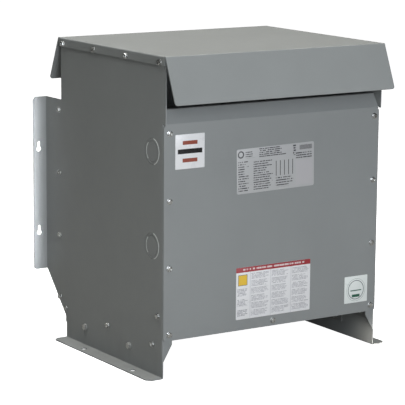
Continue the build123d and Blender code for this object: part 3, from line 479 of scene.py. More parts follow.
enamel = make_enamel()
plating = make_plating()
stacked_lines = make_stripes()
print_block = make_block_print()
print_lines = make_line_print(print_block)


# ------------------------------------------------------------------ finishes
def enamel_finish(name, colour, roughness, dust, grime, peel=0.12):
    material, tree, shader = new_material(name)
    look = use_group(tree, enamel, Colour=colour, Roughness=roughness, Dust=dust, Grime=grime)
    feed(tree, shader.inputs["Base Color"], look["Colour"])
    feed(tree, shader.inputs["Roughness"], look["Roughness"])
    feed(tree, shader.inputs["Normal"], normal_height(tree, look["Height"], peel, 0.0006))
    shader.inputs["Specular IOR Level"].default_value = 0.42
    return material


def plated_finish(name, colour, roughness, tarnish, tint, metallic=1.0):
    material, tree, shader = new_material(name)
    look = use_group(tree, plating, Colour=colour, Roughness=roughness, Tarnish=tarnish, Tint=tint)
    feed(tree, shader.inputs["Base Color"], look["Colour"])
    feed(tree, shader.inputs["Roughness"], look["Roughness"])
    feed(tree, shader.inputs["Normal"], normal_height(tree, look["Height"], 0.16, 0.0002))
    shader.inputs["Metallic"].default_value = metallic
    return material


grey_enamel = enamel_finish("grey_baked_enamel", (0.262, 0.275, 0.278), 0.40, 0.48, 0.15)
pan_enamel = enamel_finish("grey_pan_enamel", (0.22, 0.23, 0.23), 0.46, 0.3, 0.5)
clamp_primer = enamel_finish("black_clamp_primer", (0.030, 0.031, 0.034), 0.5, 0.3, 0.2, peel=0.3)
bright_zinc = plated_finish("bright_zinc", (0.64, 0.65, 0.65), 0.20, 0.32, (0.36, 0.36, 0.34))
dull_zinc = plated_finish("dull_zinc", (0.62, 0.63, 0.63), 0.38, 0.5, (0.40, 0.40, 0.38))
# Near-white finish of the knockout lips: a painted highlight where the knockout rings catch the light.
knockout_highlight_paint = plated_finish(
    "knockout_painted_highlight", (0.84, 0.88, 0.87), 0.5, 0.3, (0.40, 0.42, 0.42), metallic=0.0
)
tinned_aluminium = plated_finish("tinned_aluminium", (0.78, 0.79, 0.80), 0.33, 0.35, (0.60, 0.60, 0.60))

for name in ("left_side_panel", "right_side_panel", "front_cover", "rear_cover", "roof", "rear_baffle"):
    nodes[name].data.materials[0] = grey_enamel
for name in ("base_pan", "front_core_rail", "rear_core_rail"):
    nodes[name].data.materials[0] = pan_enamel
for name in ("lower_front_clamp", "lower_rear_clamp", "upper_front_clamp", "upper_rear_clamp",
             "board_brackets"):
    nodes[name].data.materials[0] = clamp_primer
for name in ("rail_bolts", "rail_nuts", "mounting_bolts", "mounting_nuts", "clamp_bolts", "clamp_nuts",
             "terminal_bolts", "terminal_nuts"):
    nodes[name].data.materials[0] = dull_zinc
for name in ("primary_lugs", "secondary_lugs", "ground_lug"):
    nodes[name].data.materials[0] = tinned_aluminium


# ------------------------------------------------------------------ screws
WASHER = 1.0 * MM  # thickness
WASHER_RADIUS = 5.2 * MM
ACROSS_FLATS = 7.9 * MM
HEAD_TOP = 4.0 * MM  # seat of the washer to the top of the head
SHANK_RADIUS = 2.4 * MM
ROOT_SHARE = 0.80  # root of the thread, as a share of its crest
THREAD_PITCH = 1.4 * MM
FLANK, LAND, GROOVE = 0.30, 0.12, 0.28  # shares of one pitch, with two flanks
CASE_SCREW_LENGTH = 9.0 * MM
BOARD_SCREW_LENGTH = 12.0 * MM
POINT_LENGTH = 1.2 * MM  # at least


def make_hex_washer_screw(length):
    """Indented hex washer head screw on the Z axis, seated on Z=0, with its thread below."""
    deselect_all()
    bpy.ops.mesh.primitive_cylinder_add(
        vertices=6, radius=ACROSS_FLATS / 2 / math.cos(math.pi / 6), depth=HEAD_TOP - WASHER,
        location=(0, 0, (HEAD_TOP + WASHER) / 2),
    )
    hexagon = name_new("hexagon")
    begin_edit(hexagon)
    pick_faces(hexagon, lambda centre, normal: normal.z > 0.9)
    bpy.ops.mesh.bevel(offset=0.45 * MM, segments=2, affect="EDGES")
    pick_faces(hexagon, lambda centre, normal: normal.z > 0.99)
    bpy.ops.mesh.inset(thickness=0.9 * MM)
    extrude((0, 0, -0.25 * MM))
    bpy.ops.mesh.inset(thickness=0.5 * MM)
    extrude((0, 0, -0.35 * MM))
    end_edit()
    deselect_all()
    bpy.ops.mesh.primitive_cylinder_add(
        vertices=32, radius=WASHER_RADIUS, depth=WASHER, location=(0, 0, WASHER / 2)
    )
    collar = name_new("collar")
    begin_edit(collar)
    pick_faces(collar, lambda centre, normal: normal.z > 0.9)
    bpy.ops.mesh.bevel(offset=0.25 * MM, segments=2, affect="EDGES")
    pick_faces(collar, lambda centre, normal: normal.z > 0.99)
    bpy.ops.mesh.inset(thickness=0.55 * MM)
    extrude((0, 0, 0.22 * MM))
    end_edit()
    deselect_all()
    bpy.ops.mesh.primitive_circle_add(
        vertices=14, radius=ROOT_SHARE * SHANK_RADIUS, fill_type="NGON", location=(0, 0, 0)
    )
    shank = name_new("shank")
    begin_edit(shank)
    bpy.ops.mesh.select_all(action="SELECT")
    turns = int((length - POINT_LENGTH) / THREAD_PITCH)
    depth = 0.0
    for _ in range(turns):
        for move, grow in ((FLANK, 1 / ROOT_SHARE), (LAND, 1.0), (FLANK, ROOT_SHARE), (GROOVE, 1.0)):
            extrude((0, 0, -move * THREAD_PITCH))
            depth += move * THREAD_PITCH
            scale_about((0, 0, -depth), (grow, grow, 1.0))
    extrude((0, 0, depth - length))
    scale_about((0, 0, -length), (0.35, 0.35, 1.0))
    end_edit()
    return settle(join("case_screw", [hexagon, collar, shank]))


def place_screws(node, screw, outward):
    """One copy of the screw at each solid of the node, its head outwards."""
    copies = []
    for number, (low, high) in enumerate(solids_in(node)):
        centre = (low + high) / 2
        direction = outward(centre)
        reach = max((high - centre).dot(direction), (low - centre).dot(direction))
        seat = centre + direction * (reach - HEAD_TOP)
        copies.append(twin(screw, facing(direction, seat, roll=0.55 * number)))
    placed = settle(join(node + "_threaded", copies))
    finish_piece(placed, body_of_node[node], "zinc_screws", bright_zinc, node)


def to_nearest_side(centre):
    return LEFT if centre.x < 0 else RIGHT


def to_front(centre):
    return FRONT


# ------------------------------------------------------------------ labels
def make_label(node, corner, size=None, tilt=0.0):
    """Thin label with rounded corners and a softened face edge, in the place of its CAD node."""
    low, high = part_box(node)
    centre = (low + high) / 2
    width, height = size or (high.x - low.x, high.z - low.z)
    deselect_all()
    bpy.ops.mesh.primitive_cube_add(size=1.0)
    label = name_new(node + "_printed")
    begin_edit(label)
    bpy.ops.mesh.select_all(action="SELECT")
    scale_about((0, 0, 0), (width, high.y - low.y, height))
    bpy.ops.mesh.select_mode(type="EDGE")
    pick_edges(label, lambda a, b: abs(a.y - b.y) > 0.1 * MM)
    bpy.ops.mesh.bevel(offset=corner, segments=5, affect="EDGES")
    bpy.ops.mesh.select_mode(type="FACE")
    pick_faces(label, lambda middle, normal: normal.y < -0.9)
    bpy.ops.mesh.bevel(offset=0.1 * MM, segments=2, affect="EDGES")
    end_edit()
    label.data.transform(Matrix.Translation(centre) @ Matrix.Rotation(tilt, 4, "Y"))
    return settle(label), centre


class Sheet:
    """The face of a label while its print is laid on: across and up from its centre, in metres."""

    def __init__(self, name, centre, paper, roughness, tilt=0.0):
        self.material, self.tree, self.shader = new_material(name)
        tree = self.tree
        from_centre = tree.nodes.new("ShaderNodeVectorMath")
        from_centre.operation = "SUBTRACT"
        feed(tree, from_centre.inputs[0], coordinates(tree))
        from_centre.inputs[1].default_value = centre
        turned = tree.nodes.new("ShaderNodeVectorRotate")
        turned.rotation_type = "Y_AXIS"
        turned.inputs["Angle"].default_value = tilt
        feed(tree, turned.inputs["Vector"], from_centre.outputs[0])
        self.face = turned.outputs[0]
        self.across, _, self.up = split(tree, self.face)
        fibre = noise(tree, self.face, 900.0, 3.0, 0.6)
        cloud = noise(tree, self.face, 40.0, 2.0)
        fibre_tone = ramp(tree, fibre, 0.3, 0.7, 0.985, 1.01)
        tone = maths(tree, "ADD", fibre_tone, ramp(tree, cloud, 0.3, 0.7, -0.012, 0.012))
        self.colour = scaled_colour(tree, paper, tone)
        self.ink_height = 0.0
        self.roughness = maths(tree, "ADD", roughness, ramp(tree, cloud, 0.3, 0.7, -0.04, 0.04))

    def lay(self, mask, ink, strength=1.0):
        if strength < 1.0:
            mask = maths(self.tree, "MULTIPLY", mask, strength)
        self.colour = blend_colours(self.tree, mask, self.colour, ink)
        self.ink_height = maths(self.tree, "MAXIMUM", self.ink_height, mask)

    def area(self, group, left, right, bottom, top, **more):
        """Mask from a print group, over an area given in millimetres."""
        edges = {label: value * MM for label, value in zip(AREA, (left, right, bottom, top))}
        return use_group(self.tree, group, Across=self.across, Up=self.up, **edges, **more)["Mask"]

    def block(self, left, right, bottom, top, ink, strength=1.0):
        self.lay(self.area(print_block, left, right, bottom, top), ink, strength)

    def lines(self, left, right, bottom, top, ink, pitch=2.2, weight=0.45, ragged=0.35, strength=1.0,
              paragraph=1000.0, filled=1.0):
        mask = self.area(
            print_lines, left, right, bottom, top, Pitch=pitch * MM, Weight=weight, Ragged=ragged,
            Seed=(left * 1.7 + top * 3.1) % 97, Paragraph=paragraph * MM, Filled=filled,
        )
        self.lay(mask, ink, strength)

    def stripes(self, left, right, bottom, top, ink, pitch, weight):
        steps = maths(self.tree, "DIVIDE", self.across, pitch * MM)
        within = maths(self.tree, "LESS_THAN", maths(self.tree, "FRACT", steps), weight)
        mask = self.area(print_block, left, right, bottom, top)
        self.lay(maths(self.tree, "MULTIPLY", mask, within), ink)

    def ring(self, across, up, radius, width, ink):
        tree = self.tree
        centre = tree.nodes.new("ShaderNodeCombineXYZ")
        centre.inputs[0].default_value = across * MM
        centre.inputs[2].default_value = up * MM
        flat = tree.nodes.new("ShaderNodeCombineXYZ")
        feed(tree, flat.inputs[0], self.across)
        feed(tree, flat.inputs[2], self.up)
        reach = tree.nodes.new("ShaderNodeVectorMath")
        reach.operation = "DISTANCE"
        feed(tree, reach.inputs[0], flat.outputs[0])
        feed(tree, reach.inputs[1], centre.outputs[0])
        off = maths(tree, "ABSOLUTE", maths(tree, "SUBTRACT", reach.outputs["Value"], radius * MM))
        self.lay(maths(tree, "LESS_THAN", off, width / 2 * MM), ink)

    def done(self):
        tree = self.tree
        feed(tree, self.shader.inputs["Base Color"], self.colour)
        feed(tree, self.shader.inputs["Roughness"], self.roughness)
        feed(tree, self.shader.inputs["Normal"], normal_height(tree, self.ink_height, 0.1, 0.00005))
        return self.material


INK = (0.055, 0.055, 0.06)
GREY_INK = (0.30, 0.30, 0.34)
RED_INK = (0.36, 0.035, 0.045)
AMBER_INK = (0.80, 0.52, 0.05)
GREEN_INK = (0.02, 0.12, 0.075)
BRICK_INK = (0.30, 0.075, 0.05)
WHITE_VINYL = (0.82, 0.82, 0.84)
HEADING_INK = (0.80, 0.74, 0.74)
BLACK_INK = (0.012, 0.012, 0.014)
RING_INK = (0.06, 0.09, 0.10)
FAINT_RING_INK = (0.35, 0.40, 0.40)
CLEAR_BOX = (0.485, 0.475, 0.495)
SILVER_FOIL = (0.46, 0.465, 0.475)
GREENISH_VINYL = (0.80, 0.84, 0.83)
NAMEPLATE_SIZE = (160.0 * MM, 77.0 * MM)
NAMEPLATE_TILT = math.radians(-1.0)
NAMEPLATE_CORNER = 3.0 * MM


def print_nameplate(centre):
    """Silver rating plate: a ring, heading lines, a striped block, columns of dashes and a clear box."""
    sheet = Sheet("silver_nameplate", centre, SILVER_FOIL, 0.36, -NAMEPLATE_TILT)
    sheet.ring(-71.5, 29.0, 5.2, 2.4, INK)
    sheet.lines(-62, -38, 22, 33, INK, 3.6, 0.45, 0.5)
    sheet.lines(-34, 24, 20, 36.5, INK, 3.3, 0.5, 0.3)
    sheet.lines(36, 42, 18, 36, INK, 4.2, 0.6, 0.2)
    sheet.stripes(50, 76, 26.5, 34.5, INK, 1.85, 0.55)
    sheet.lines(42, 76, 10.5, 22, INK, 4.0, 0.5, 0.15)
    sheet.lines(-77, -55, -36, 17, INK, 4.1, 0.42, 0.45)
    sheet.lines(-46, -6, -35, 15, INK, 3.9, 0.42, 0.45)
    sheet.stripes(0, 38, -14, 12, INK, 8.6, 0.16)
    sheet.lines(0, 38, -34, -17, INK, 4.2, 0.42, 0.3)
    sheet.block(42, 76.5, -34, 8.5, CLEAR_BOX, 0.8)
    return sheet.done()


def print_hazard_label(centre):
    """Four-column notice: a red band over columns of grey dashes, and one plain amber square."""
    sheet = Sheet("notice_label", centre, WHITE_VINYL, 0.30)
    columns = ((-77.0, -49.0), (-48.0, -6.5), (-5.5, 36.0), (37.0, 77.0))
    sheet.lines(columns[0][0] + 2, columns[0][1] - 4, -43, 8.0, GREY_INK, 2.3, 0.5, 0.35, 1.0, 18.0, 0.68)
    for left, right in columns[1:]:
        sheet.block(left - 0.9, left - 0.3, -45, 37, GREY_INK, 0.75)
        sheet.lines(left + 1.5, right - 2.5, -42, 33.5, GREY_INK, 2.15, 0.5, 0.3, 0.8, 12.9, 0.8)
    sheet.block(-73.5, -54.5, 13.5, 32.5, INK, 0.9)
    sheet.block(-72.6, -55.4, 14.4, 31.6, AMBER_INK)
    sheet.block(-77.5, 77.5, 36.6, 45.3, RED_INK)
    sheet.lines(-66, 70, 39.4, 42.8, HEADING_INK, 3.4, 0.9, 0.05, 0.8)
    return sheet.done()


def print_efficiency_label(centre):
    """White label with a thin ring round two plain bars."""
    sheet = Sheet("ring_label", centre, GREENISH_VINYL, 0.30)
    sheet.ring(0.0, -1.0, 16.8, 1.1, RING_INK)
    sheet.ring(0.0, -1.0, 20.2, 0.6, FAINT_RING_INK)
    sheet.block(-12.0, 12.0, -3.0, -1.2, GREEN_INK)
    sheet.block(-8.5, 8.5, -14.2, -9.2, GREEN_INK)
    return sheet.done()


def print_maker_label(centre):
    """White label with a plain dark bar between two plain brick-red bars."""
    sheet = Sheet("plain_mark_label", centre, WHITE_VINYL, 0.28)
    sheet.block(-24.0, 24.0, -3.6, 4.4, BLACK_INK)
    sheet.block(-14.5, 14.5, 11.5, 18.0, BRICK_INK)
    sheet.block(-14.5, 14.5, -18.0, -11.5, BRICK_INK)
    return sheet.done()


# ------------------------------------------------------------------ windings
TURN_PITCH = 4.0 * MM
TURN_FILL = 0.96  # height of a turn, as a share of the pitch
TURN_ROUNDING = 0.36  # rounding of a turn's outer edges, as a share of its height
WINDING_WALL = 10.0 * MM
WINDING_CORNER = 12.0 * MM


def make_turn(width, depth, height):
    """One rounded-rectangle turn about the Z axis, its outer edges rounded like insulated wire."""
    deselect_all()
    bpy.ops.mesh.primitive_cube_add(size=1.0)
    turn = name_new("turn")
    begin_edit(turn, "EDGE")
    bpy.ops.mesh.select_all(action="SELECT")
    scale_about((0, 0, 0), (width, depth, height))
    pick_edges(turn, lambda a, b: abs(a.z - b.z) > 0.1 * MM)
    bpy.ops.mesh.bevel(offset=WINDING_CORNER, segments=5, affect="EDGES")
    bpy.ops.mesh.select_mode(type="FACE")
    pick_faces(turn, lambda middle, normal: abs(normal.z) > 0.9)
    bpy.ops.mesh.inset(thickness=WINDING_WALL)
    bpy.ops.mesh.bridge_edge_loops()
    bpy.ops.mesh.select_mode(type="EDGE")
    inner_half_width = width / 2 - 0.9 * WINDING_WALL
    inner_half_depth = depth / 2 - 0.9 * WINDING_WALL
    corner_centre = Vector((width / 2 - WINDING_CORNER, depth / 2 - WINDING_CORNER))

    def on_outer_rim(point):
        past = Vector((abs(point.x), abs(point.y))) - corner_centre
        if past.x > 0 and past.y > 0:
            return past.length > 0.6 * WINDING_CORNER
        return abs(point.x) > inner_half_width or abs(point.y) > inner_half_depth

    pick_edges(
        turn, lambda a, b: abs(a.z - b.z) < 1e-6 and on_outer_rim(a) and on_outer_rim(b)
    )
    bpy.ops.mesh.bevel(offset=TURN_ROUNDING * height, segments=2, affect="EDGES")
    end_edit()
    return settle(turn)


def wind_coil(node, finish):
    """Outer winding built of turns stacked in the place of its CAD node."""
    low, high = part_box(node)
    count = round((high.z - low.z) / TURN_PITCH)
    pitch = (high.z - low.z) / count
    turn = make_turn(high.x - low.x, high.y - low.y, TURN_FILL * pitch)
    centre = (low + high) / 2
    turns = [
        twin(turn, Matrix.Translation((centre.x, centre.y, low.z + (number + 0.5) * pitch)))
        for number in range(count)
    ]
    drop(turn)
    coil = settle(join(node + "_turns", turns))
    finish_piece(coil, body_of_node[node], "outer_coil", finish, node)


# ------------------------------------------------------------------ knockout lips with painted highlights
KNOCKOUT_SPACING = 160.0 * MM
KNOCKOUT_ARCS = (  # radius, first angle and angle swept
    (22.3 * MM, math.radians(-78), math.radians(150)),
    (17.8 * MM, math.radians(133), math.radians(95)),
)
LIP_WIDTH = 1.1 * MM
LIP_HEIGHT = 0.3 * MM


def make_knockout_lip(radius, first_angle, swept):
    """Arc of a lip at the knockout ring's edge, standing just proud of the sheet and coloured as a painted
    highlight; it lies in the YZ plane, facing -X.
    """
    deselect_all()
    bpy.ops.mesh.primitive_plane_add(size=1.0)
    lip = name_new("knockout_lip")
    begin_edit(lip)
    bpy.ops.mesh.select_all(action="SELECT")
    scale_about((0, 0, 0), (LIP_HEIGHT, LIP_WIDTH, 1.0))
    bpy.ops.transform.translate(value=(-LIP_HEIGHT / 2, -radius, 0))
    bpy.ops.mesh.spin(steps=28, angle=-swept, center=(0, 0, 0), axis=(1, 0, 0))
    end_edit()
    lip.data.transform(Matrix.Rotation(first_angle, 4, "X"))
    return lip


def place_knockout_lips(side_x, centre_y, centre_z, outward):
    """Lips on the rings of both knockouts of one side panel, near white as painted highlights where the
    rings catch the light.
    """
    on_left = outward < 0
    mirror = Matrix.Identity(4) if on_left else Matrix.Scale(-1.0, 4, RIGHT)
    lips = []
    for height in (centre_z - KNOCKOUT_SPACING / 2, centre_z + KNOCKOUT_SPACING / 2):
        for arc in KNOCKOUT_ARCS:
            lip = make_knockout_lip(*arc)
            lip.data.transform(Matrix.Translation((side_x, centre_y, height)) @ mirror)
            lips.append(settle(lip))
    joined = join("left_knockout_lips" if on_left else "right_knockout_lips", lips)
    finish_piece(joined, "frame", "painted_steel", knockout_highlight_paint)


# ------------------------------------------------------------------ isolation pads
RIB_LEVELS = (-0.30, -0.10, 0.10, 0.30)  # grooves, as shares of the height from the middle
RIB_GROOVE = 0.5 * MM  # half the groove's width
RIB_DEPTH = 0.6 * MM


def make_pads(node, finish):
    """Ribbed rubber pads in the place of their CAD node."""
    pads = []
    for low, high in solids_in(node):
        size = high - low
        deselect_all()
        bpy.ops.mesh.primitive_cube_add(size=1.0)
        pad = name_new("pad")
        begin_edit(pad)
        bpy.ops.mesh.select_all(action="SELECT")
        scale_about((0, 0, 0), size)
        for share in RIB_LEVELS:
            level = share * size.z

            def at_groove(a, b):
                return abs(a.z - level) < 0.01 * MM and abs(b.z - level) < 0.01 * MM

            bpy.ops.mesh.select_all(action="SELECT")
            bpy.ops.mesh.bisect(plane_co=(0, 0, level), plane_no=UP)
            bpy.ops.mesh.select_mode(type="EDGE")
            pick_edges(pad, at_groove)
            bpy.ops.mesh.bevel(offset=RIB_GROOVE, segments=2, affect="EDGES")
            pick_edges(pad, at_groove)
            scale_about((0, 0, level), (1 - 2 * RIB_DEPTH / size.x, 1 - 2 * RIB_DEPTH / size.y, 1.0))
        end_edit()
        pad.data.transform(Matrix.Translation((low + high) / 2))
        pads.append(settle(pad))
    finish_piece(join(node + "_ribbed", pads), body_of_node[node], "pad_rubber", finish, node)


# ------------------------------------------------------------------ finishes of the inner parts
LAMINATION = 0.5 * MM
PACKET = 7.5 * MM
INNER_WIRE_PITCH = 3.0 * MM
NO_WIRE_LINES = 0.5  # longer than the coil, so only the modelled turns show
SLEEVE_PITCH = 2.4 * MM
STRAP_PITCH = 2.2 * MM


def laminated_finish():
    """Varnished core steel: sheet edges, packets, brown varnish runs and a few rust freckles."""
    material, tree, shader = new_material("varnished_laminations")
    place = coordinates(tree)
    _, depth, _ = split(tree, place)
    sheets = use_group(tree, stacked_lines, Across=depth, Pitch=LAMINATION, Gap=0.22)
    packets = use_group(tree, stacked_lines, Across=depth, Pitch=PACKET, Gap=0.03)
    varnish = ramp(tree, noise(tree, place, 22.0, 5.0, 0.6, stretch=(1.0, 1.0, 0.5)), 0.4, 0.66)
    freckle = ramp(tree, noise(tree, place, 420.0, 3.0, 0.6), 0.66, 0.72)
    colour = scaled_colour(tree, (0.19, 0.19, 0.20), ramp(tree, sheets["Tone"], 0.0, 1.0, 0.72, 1.25))
    colour = scaled_colour(tree, colour, ramp(tree, packets["Tone"], 0.0, 1.0, 0.88, 1.1))
    colour = blend_colours(tree, maths(tree, "MULTIPLY", varnish, 0.55), colour, (0.075, 0.045, 0.022))
    colour = blend_colours(tree, maths(tree, "MULTIPLY", freckle, 0.5), colour, (0.16, 0.06, 0.025))
    groove = maths(tree, "MULTIPLY", sheets["Groove"], 0.6)
    colour = blend_colours(tree, groove, colour, (0.03, 0.025, 0.02))
    feed(tree, shader.inputs["Base Color"], colour)
    feed(tree, shader.inputs["Roughness"], ramp(tree, varnish, 0.0, 1.0, 0.48, 0.26))
    feed(tree, shader.inputs["Metallic"], ramp(tree, varnish, 0.0, 1.0, 0.7, 0.25))
    height = maths(tree, "SUBTRACT", 1.0, sheets["Groove"])
    feed(tree, shader.inputs["Normal"], normal_height(tree, height, 0.5, 0.00015))
    return material


def wound_finish(name, colour, dark, pitch):
    """Varnished winding: turn lines, paper edges and pooled amber varnish."""
    material, tree, shader = new_material(name)
    place = coordinates(tree)
    _, _, level = split(tree, place)
    wires = use_group(tree, stacked_lines, Across=level, Pitch=pitch, Gap=0.2)
    pooled = ramp(tree, noise(tree, place, 30.0, 5.0, 0.6, stretch=(1.0, 1.0, 0.4)), 0.38, 0.68)
    weave = noise(tree, place, 1100.0, 2.0, 0.6)
    shade = scaled_colour(tree, colour, ramp(tree, wires["Tone"], 0.0, 1.0, 0.78, 1.18))
    shade = scaled_colour(tree, shade, ramp(tree, weave, 0.3, 0.7, 0.9, 1.08))
    shade = blend_colours(tree, maths(tree, "MULTIPLY", pooled, 0.6), shade, dark)
    shade = blend_colours(tree, maths(tree, "MULTIPLY", wires["Groove"], 0.5), shade, (0.03, 0.015, 0.006))
    feed(tree, shader.inputs["Base Color"], shade)
    feed(tree, shader.inputs["Roughness"], ramp(tree, pooled, 0.0, 1.0, 0.42, 0.2))
    height = maths(tree, "SUBTRACT", 1.0, wires["Groove"])
    height = maths(tree, "ADD", height, maths(tree, "MULTIPLY", weave, 0.4))
    feed(tree, shader.inputs["Normal"], normal_height(tree, height, 0.45, 0.0003))
    shader.inputs["Coat Weight"].default_value = 0.35
    shader.inputs["Coat Roughness"].default_value = 0.18
    return material


def pressboard_finish():
    """Glass laminate and pressboard: straw colour, long fibres and amber varnish stains."""
    material, tree, shader = new_material("varnished_pressboard")
    place = coordinates(tree)
    fibres = noise(tree, place, 240.0, 4.0, 0.65, stretch=(1.0, 1.0, 0.08))
    stain = ramp(tree, noise(tree, place, 34.0, 4.0, 0.6), 0.42, 0.7)
    colour = scaled_colour(tree, (0.52, 0.40, 0.20), ramp(tree, fibres, 0.3, 0.7, 0.82, 1.12))
    colour = blend_colours(tree, maths(tree, "MULTIPLY", stain, 0.6), colour, (0.22, 0.11, 0.03))
    feed(tree, shader.inputs["Base Color"], colour)
    feed(tree, shader.inputs["Roughness"], ramp(tree, stain, 0.0, 1.0, 0.5, 0.28))
    feed(tree, shader.inputs["Normal"], normal_height(tree, fibres, 0.3, 0.0003))
    return material


def board_finish():
    """Red glass-polyester board: chopped fibres, fine pits and a dull moulded skin."""
    material, tree, shader = new_material("red_glass_polyester")
    place = coordinates(tree)
    along = noise(tree, place, 90.0, 5.0, 0.7, stretch=(0.3, 1.0, 3.0))
    crossing = noise(tree, place, 90.0, 5.0, 0.7, stretch=(3.0, 1.0, 0.3))
    fibre = maths(tree, "MAXIMUM", along, crossing)
    strand = ramp(tree, fibre, 0.56, 0.66)
    pits = noise(tree, place, 1500.0, 2.0)
    colour = scaled_colour(tree, (0.33, 0.035, 0.028), ramp(tree, pits, 0.3, 0.7, 0.88, 1.1))
    colour = blend_colours(tree, maths(tree, "MULTIPLY", strand, 0.35), colour, (0.50, 0.16, 0.12))
    feed(tree, shader.inputs["Base Color"], colour)
    feed(tree, shader.inputs["Roughness"], ramp(tree, strand, 0.0, 1.0, 0.5, 0.4))
    feed(tree, shader.inputs["Normal"], normal_height(tree, maths(tree, "ADD", strand, pits), 0.25, 0.0002))
    return material


def braided_finish(name, light, dark, pitch, roughness, metallic):
    """Braid: two sets of slanting strands, light on top, with painted shade darkening the gaps between
    them.
    """
    material, tree, shader = new_material(name)
    place = coordinates(tree)
    across, depth, level = split(tree, place)
    flat = maths(tree, "ADD", across, depth)
    rising = maths(tree, "MULTIPLY", maths(tree, "ADD", flat, level), 2 * math.pi / pitch)
    falling = maths(tree, "MULTIPLY", maths(tree, "SUBTRACT", flat, level), 2 * math.pi / pitch)
    one_way = maths(tree, "SINE", rising)
    other_way = maths(tree, "SINE", falling)
    strands = ramp(tree, maths(tree, "MULTIPLY", one_way, other_way), -0.6, 0.8)
    fluff = noise(tree, place, 900.0, 3.0, 0.6)
    # The dark colour fills the gaps between the strands as painted shade.
    colour = blend_colours(tree, strands, dark, light)
    colour = scaled_colour(tree, colour, ramp(tree, fluff, 0.3, 0.7, 0.82, 1.12))
    feed(tree, shader.inputs["Base Color"], colour)
    feed(tree, shader.inputs["Roughness"], ramp(tree, fluff, 0.3, 0.7, roughness - 0.06, roughness + 0.06))
    feed(tree, shader.inputs["Normal"], normal_height(tree, strands, 0.7, 0.0004))
    shader.inputs["Metallic"].default_value = metallic
    return material


def rubber_finish():
    """Black rubber: fine grain, a grey bloom and settled dust."""
    material, tree, shader = new_material("black_rubber")
    place = coordinates(tree)
    grain = noise(tree, place, 1800.0, 2.0, 0.6)
    bloom = ramp(tree, noise(tree, place, 60.0, 4.0, 0.6), 0.4, 0.7)
    grey = maths(tree, "MULTIPLY", bloom, 0.5)
    colour = blend_colours(tree, grey, (0.022, 0.022, 0.022), (0.07, 0.068, 0.064))
    feed(tree, shader.inputs["Base Color"], colour)
    feed(tree, shader.inputs["Roughness"], ramp(tree, bloom, 0.0, 1.0, 0.68, 0.85))
    feed(tree, shader.inputs["Normal"], normal_height(tree, grain, 0.3, 0.0002))
    return material


# ------------------------------------------------------------------ making and finishing every piece
case_screw = make_hex_washer_screw(CASE_SCREW_LENGTH)
board_screw = make_hex_washer_screw(BOARD_SCREW_LENGTH)
for node in ("pan_screws", "roof_screws", "rear_cover_screws"):
    place_screws(node, case_screw, to_nearest_side)
place_screws("front_cover_screws", case_screw, to_front)
place_screws("ground_screw", case_screw, to_nearest_side)
place_screws("board_screws", board_screw, to_front)
drop(case_screw)
drop(board_screw)

plate, plate_centre = make_label("nameplate", NAMEPLATE_CORNER, NAMEPLATE_SIZE, NAMEPLATE_TILT)
finish_piece(plate, "front_cover", "nameplate_foil", print_nameplate(plate_centre), "nameplate")
for node, corner, print_label in (
    ("hazard_label", 1.5 * MM, print_hazard_label),
    ("efficiency_label", 1.2 * MM, print_efficiency_label),
    ("maker_label", 1.2 * MM, print_maker_label),
):
    label, label_centre = make_label(node, corner)
    finish_piece(label, "front_cover", "white_label", print_label(label_centre), node)

for mount in frame["record"]["mounts"]:
    if mount["name"] in ("left_knockouts", "right_knockouts"):
        place_knockout_lips(*mount["pos_m"], mount["axis"][0])

outer_finish = wound_finish(
    "varnished_outer_turns", (0.30, 0.135, 0.045), (0.10, 0.035, 0.010), NO_WIRE_LINES
)
for node in ("left_outer_winding", "centre_outer_winding", "right_outer_winding"):
    wind_coil(node, outer_finish)
inner_finish = wound_finish(
    "varnished_inner_layers", (0.42, 0.27, 0.11), (0.16, 0.07, 0.02), INNER_WIRE_PITCH
)
for node in ("left_inner_winding", "centre_inner_winding", "right_inner_winding"):
    nodes[node].data.materials[0] = inner_finish
make_pads("isolation_pads", rubber_finish())

core_finish = laminated_finish()
for node in ("core_e_stack", "core_top_yoke"):
    nodes[node].data.materials[0] = core_finish
pressboard = pressboard_finish()
for node in ("coil_formers", "duct_sticks", "coil_blocks"):
    nodes[node].data.materials[0] = pressboard
nodes["terminal_board"].data.materials[0] = board_finish()
# The darker colour of each braid is painted shade between its strands.
sleeve = braided_finish(
    "black_fibre_sleeving", (0.045, 0.045, 0.046), (0.012, 0.012, 0.012), SLEEVE_PITCH, 0.6, 0.0
)
for node in ("primary_leads", "secondary_leads"):
    nodes[node].data.materials[0] = sleeve
nodes["ground_strap"].data.materials[0] = braided_finish(
    "tinned_copper_braid", (0.72, 0.66, 0.58), (0.16, 0.12, 0.09), STRAP_PITCH, 0.36, 1.0
)


# ------------------------------------------------------------------ camera, lights and floor
CAMERA_PLACE = Vector((-1.91057, -2.92201, 0.90044))
CAMERA_FORWARD = Vector((0.532592, 0.826436, -0.182617))
CAMERA_UP = Vector((0.092640, 0.157547, 0.983157))
CAMERA_LENS = 176.15  # millimetres, on a sensor 36 mm wide
SURROUNDINGS_LIGHT = 0.01
FLOOR_RADIUS = 14.0
FLOOR_DROP = 0.5 * MM  # below the feet
FLOOR_GLOW = 1.0
FLOOR_BOUNCE = (0.40, 0.39, 0.37, 1.0)
# name, place, size, power in watts and colour of the lights that are aimed at the middle
SOFT_LIGHTS = (
    ("top_light", (-0.35, 0.1, 3.2), (2.6, 2.6), 94.0, (1.0, 1.0, 0.955)),
    ("front_left_light", (-0.95, -2.0, 1.1), (0.9, 0.9), 13.5, (0.93, 0.98, 1.0)),
    ("low_front_light", (-0.1, -2.55, 0.60), (2.0, 0.6), 27.0, (0.92, 0.95, 1.0)),
    ("rear_light", (0.1, 3.0, 1.3), (1.2, 0.8), 17.0, (0.97, 0.99, 1.0)),
)


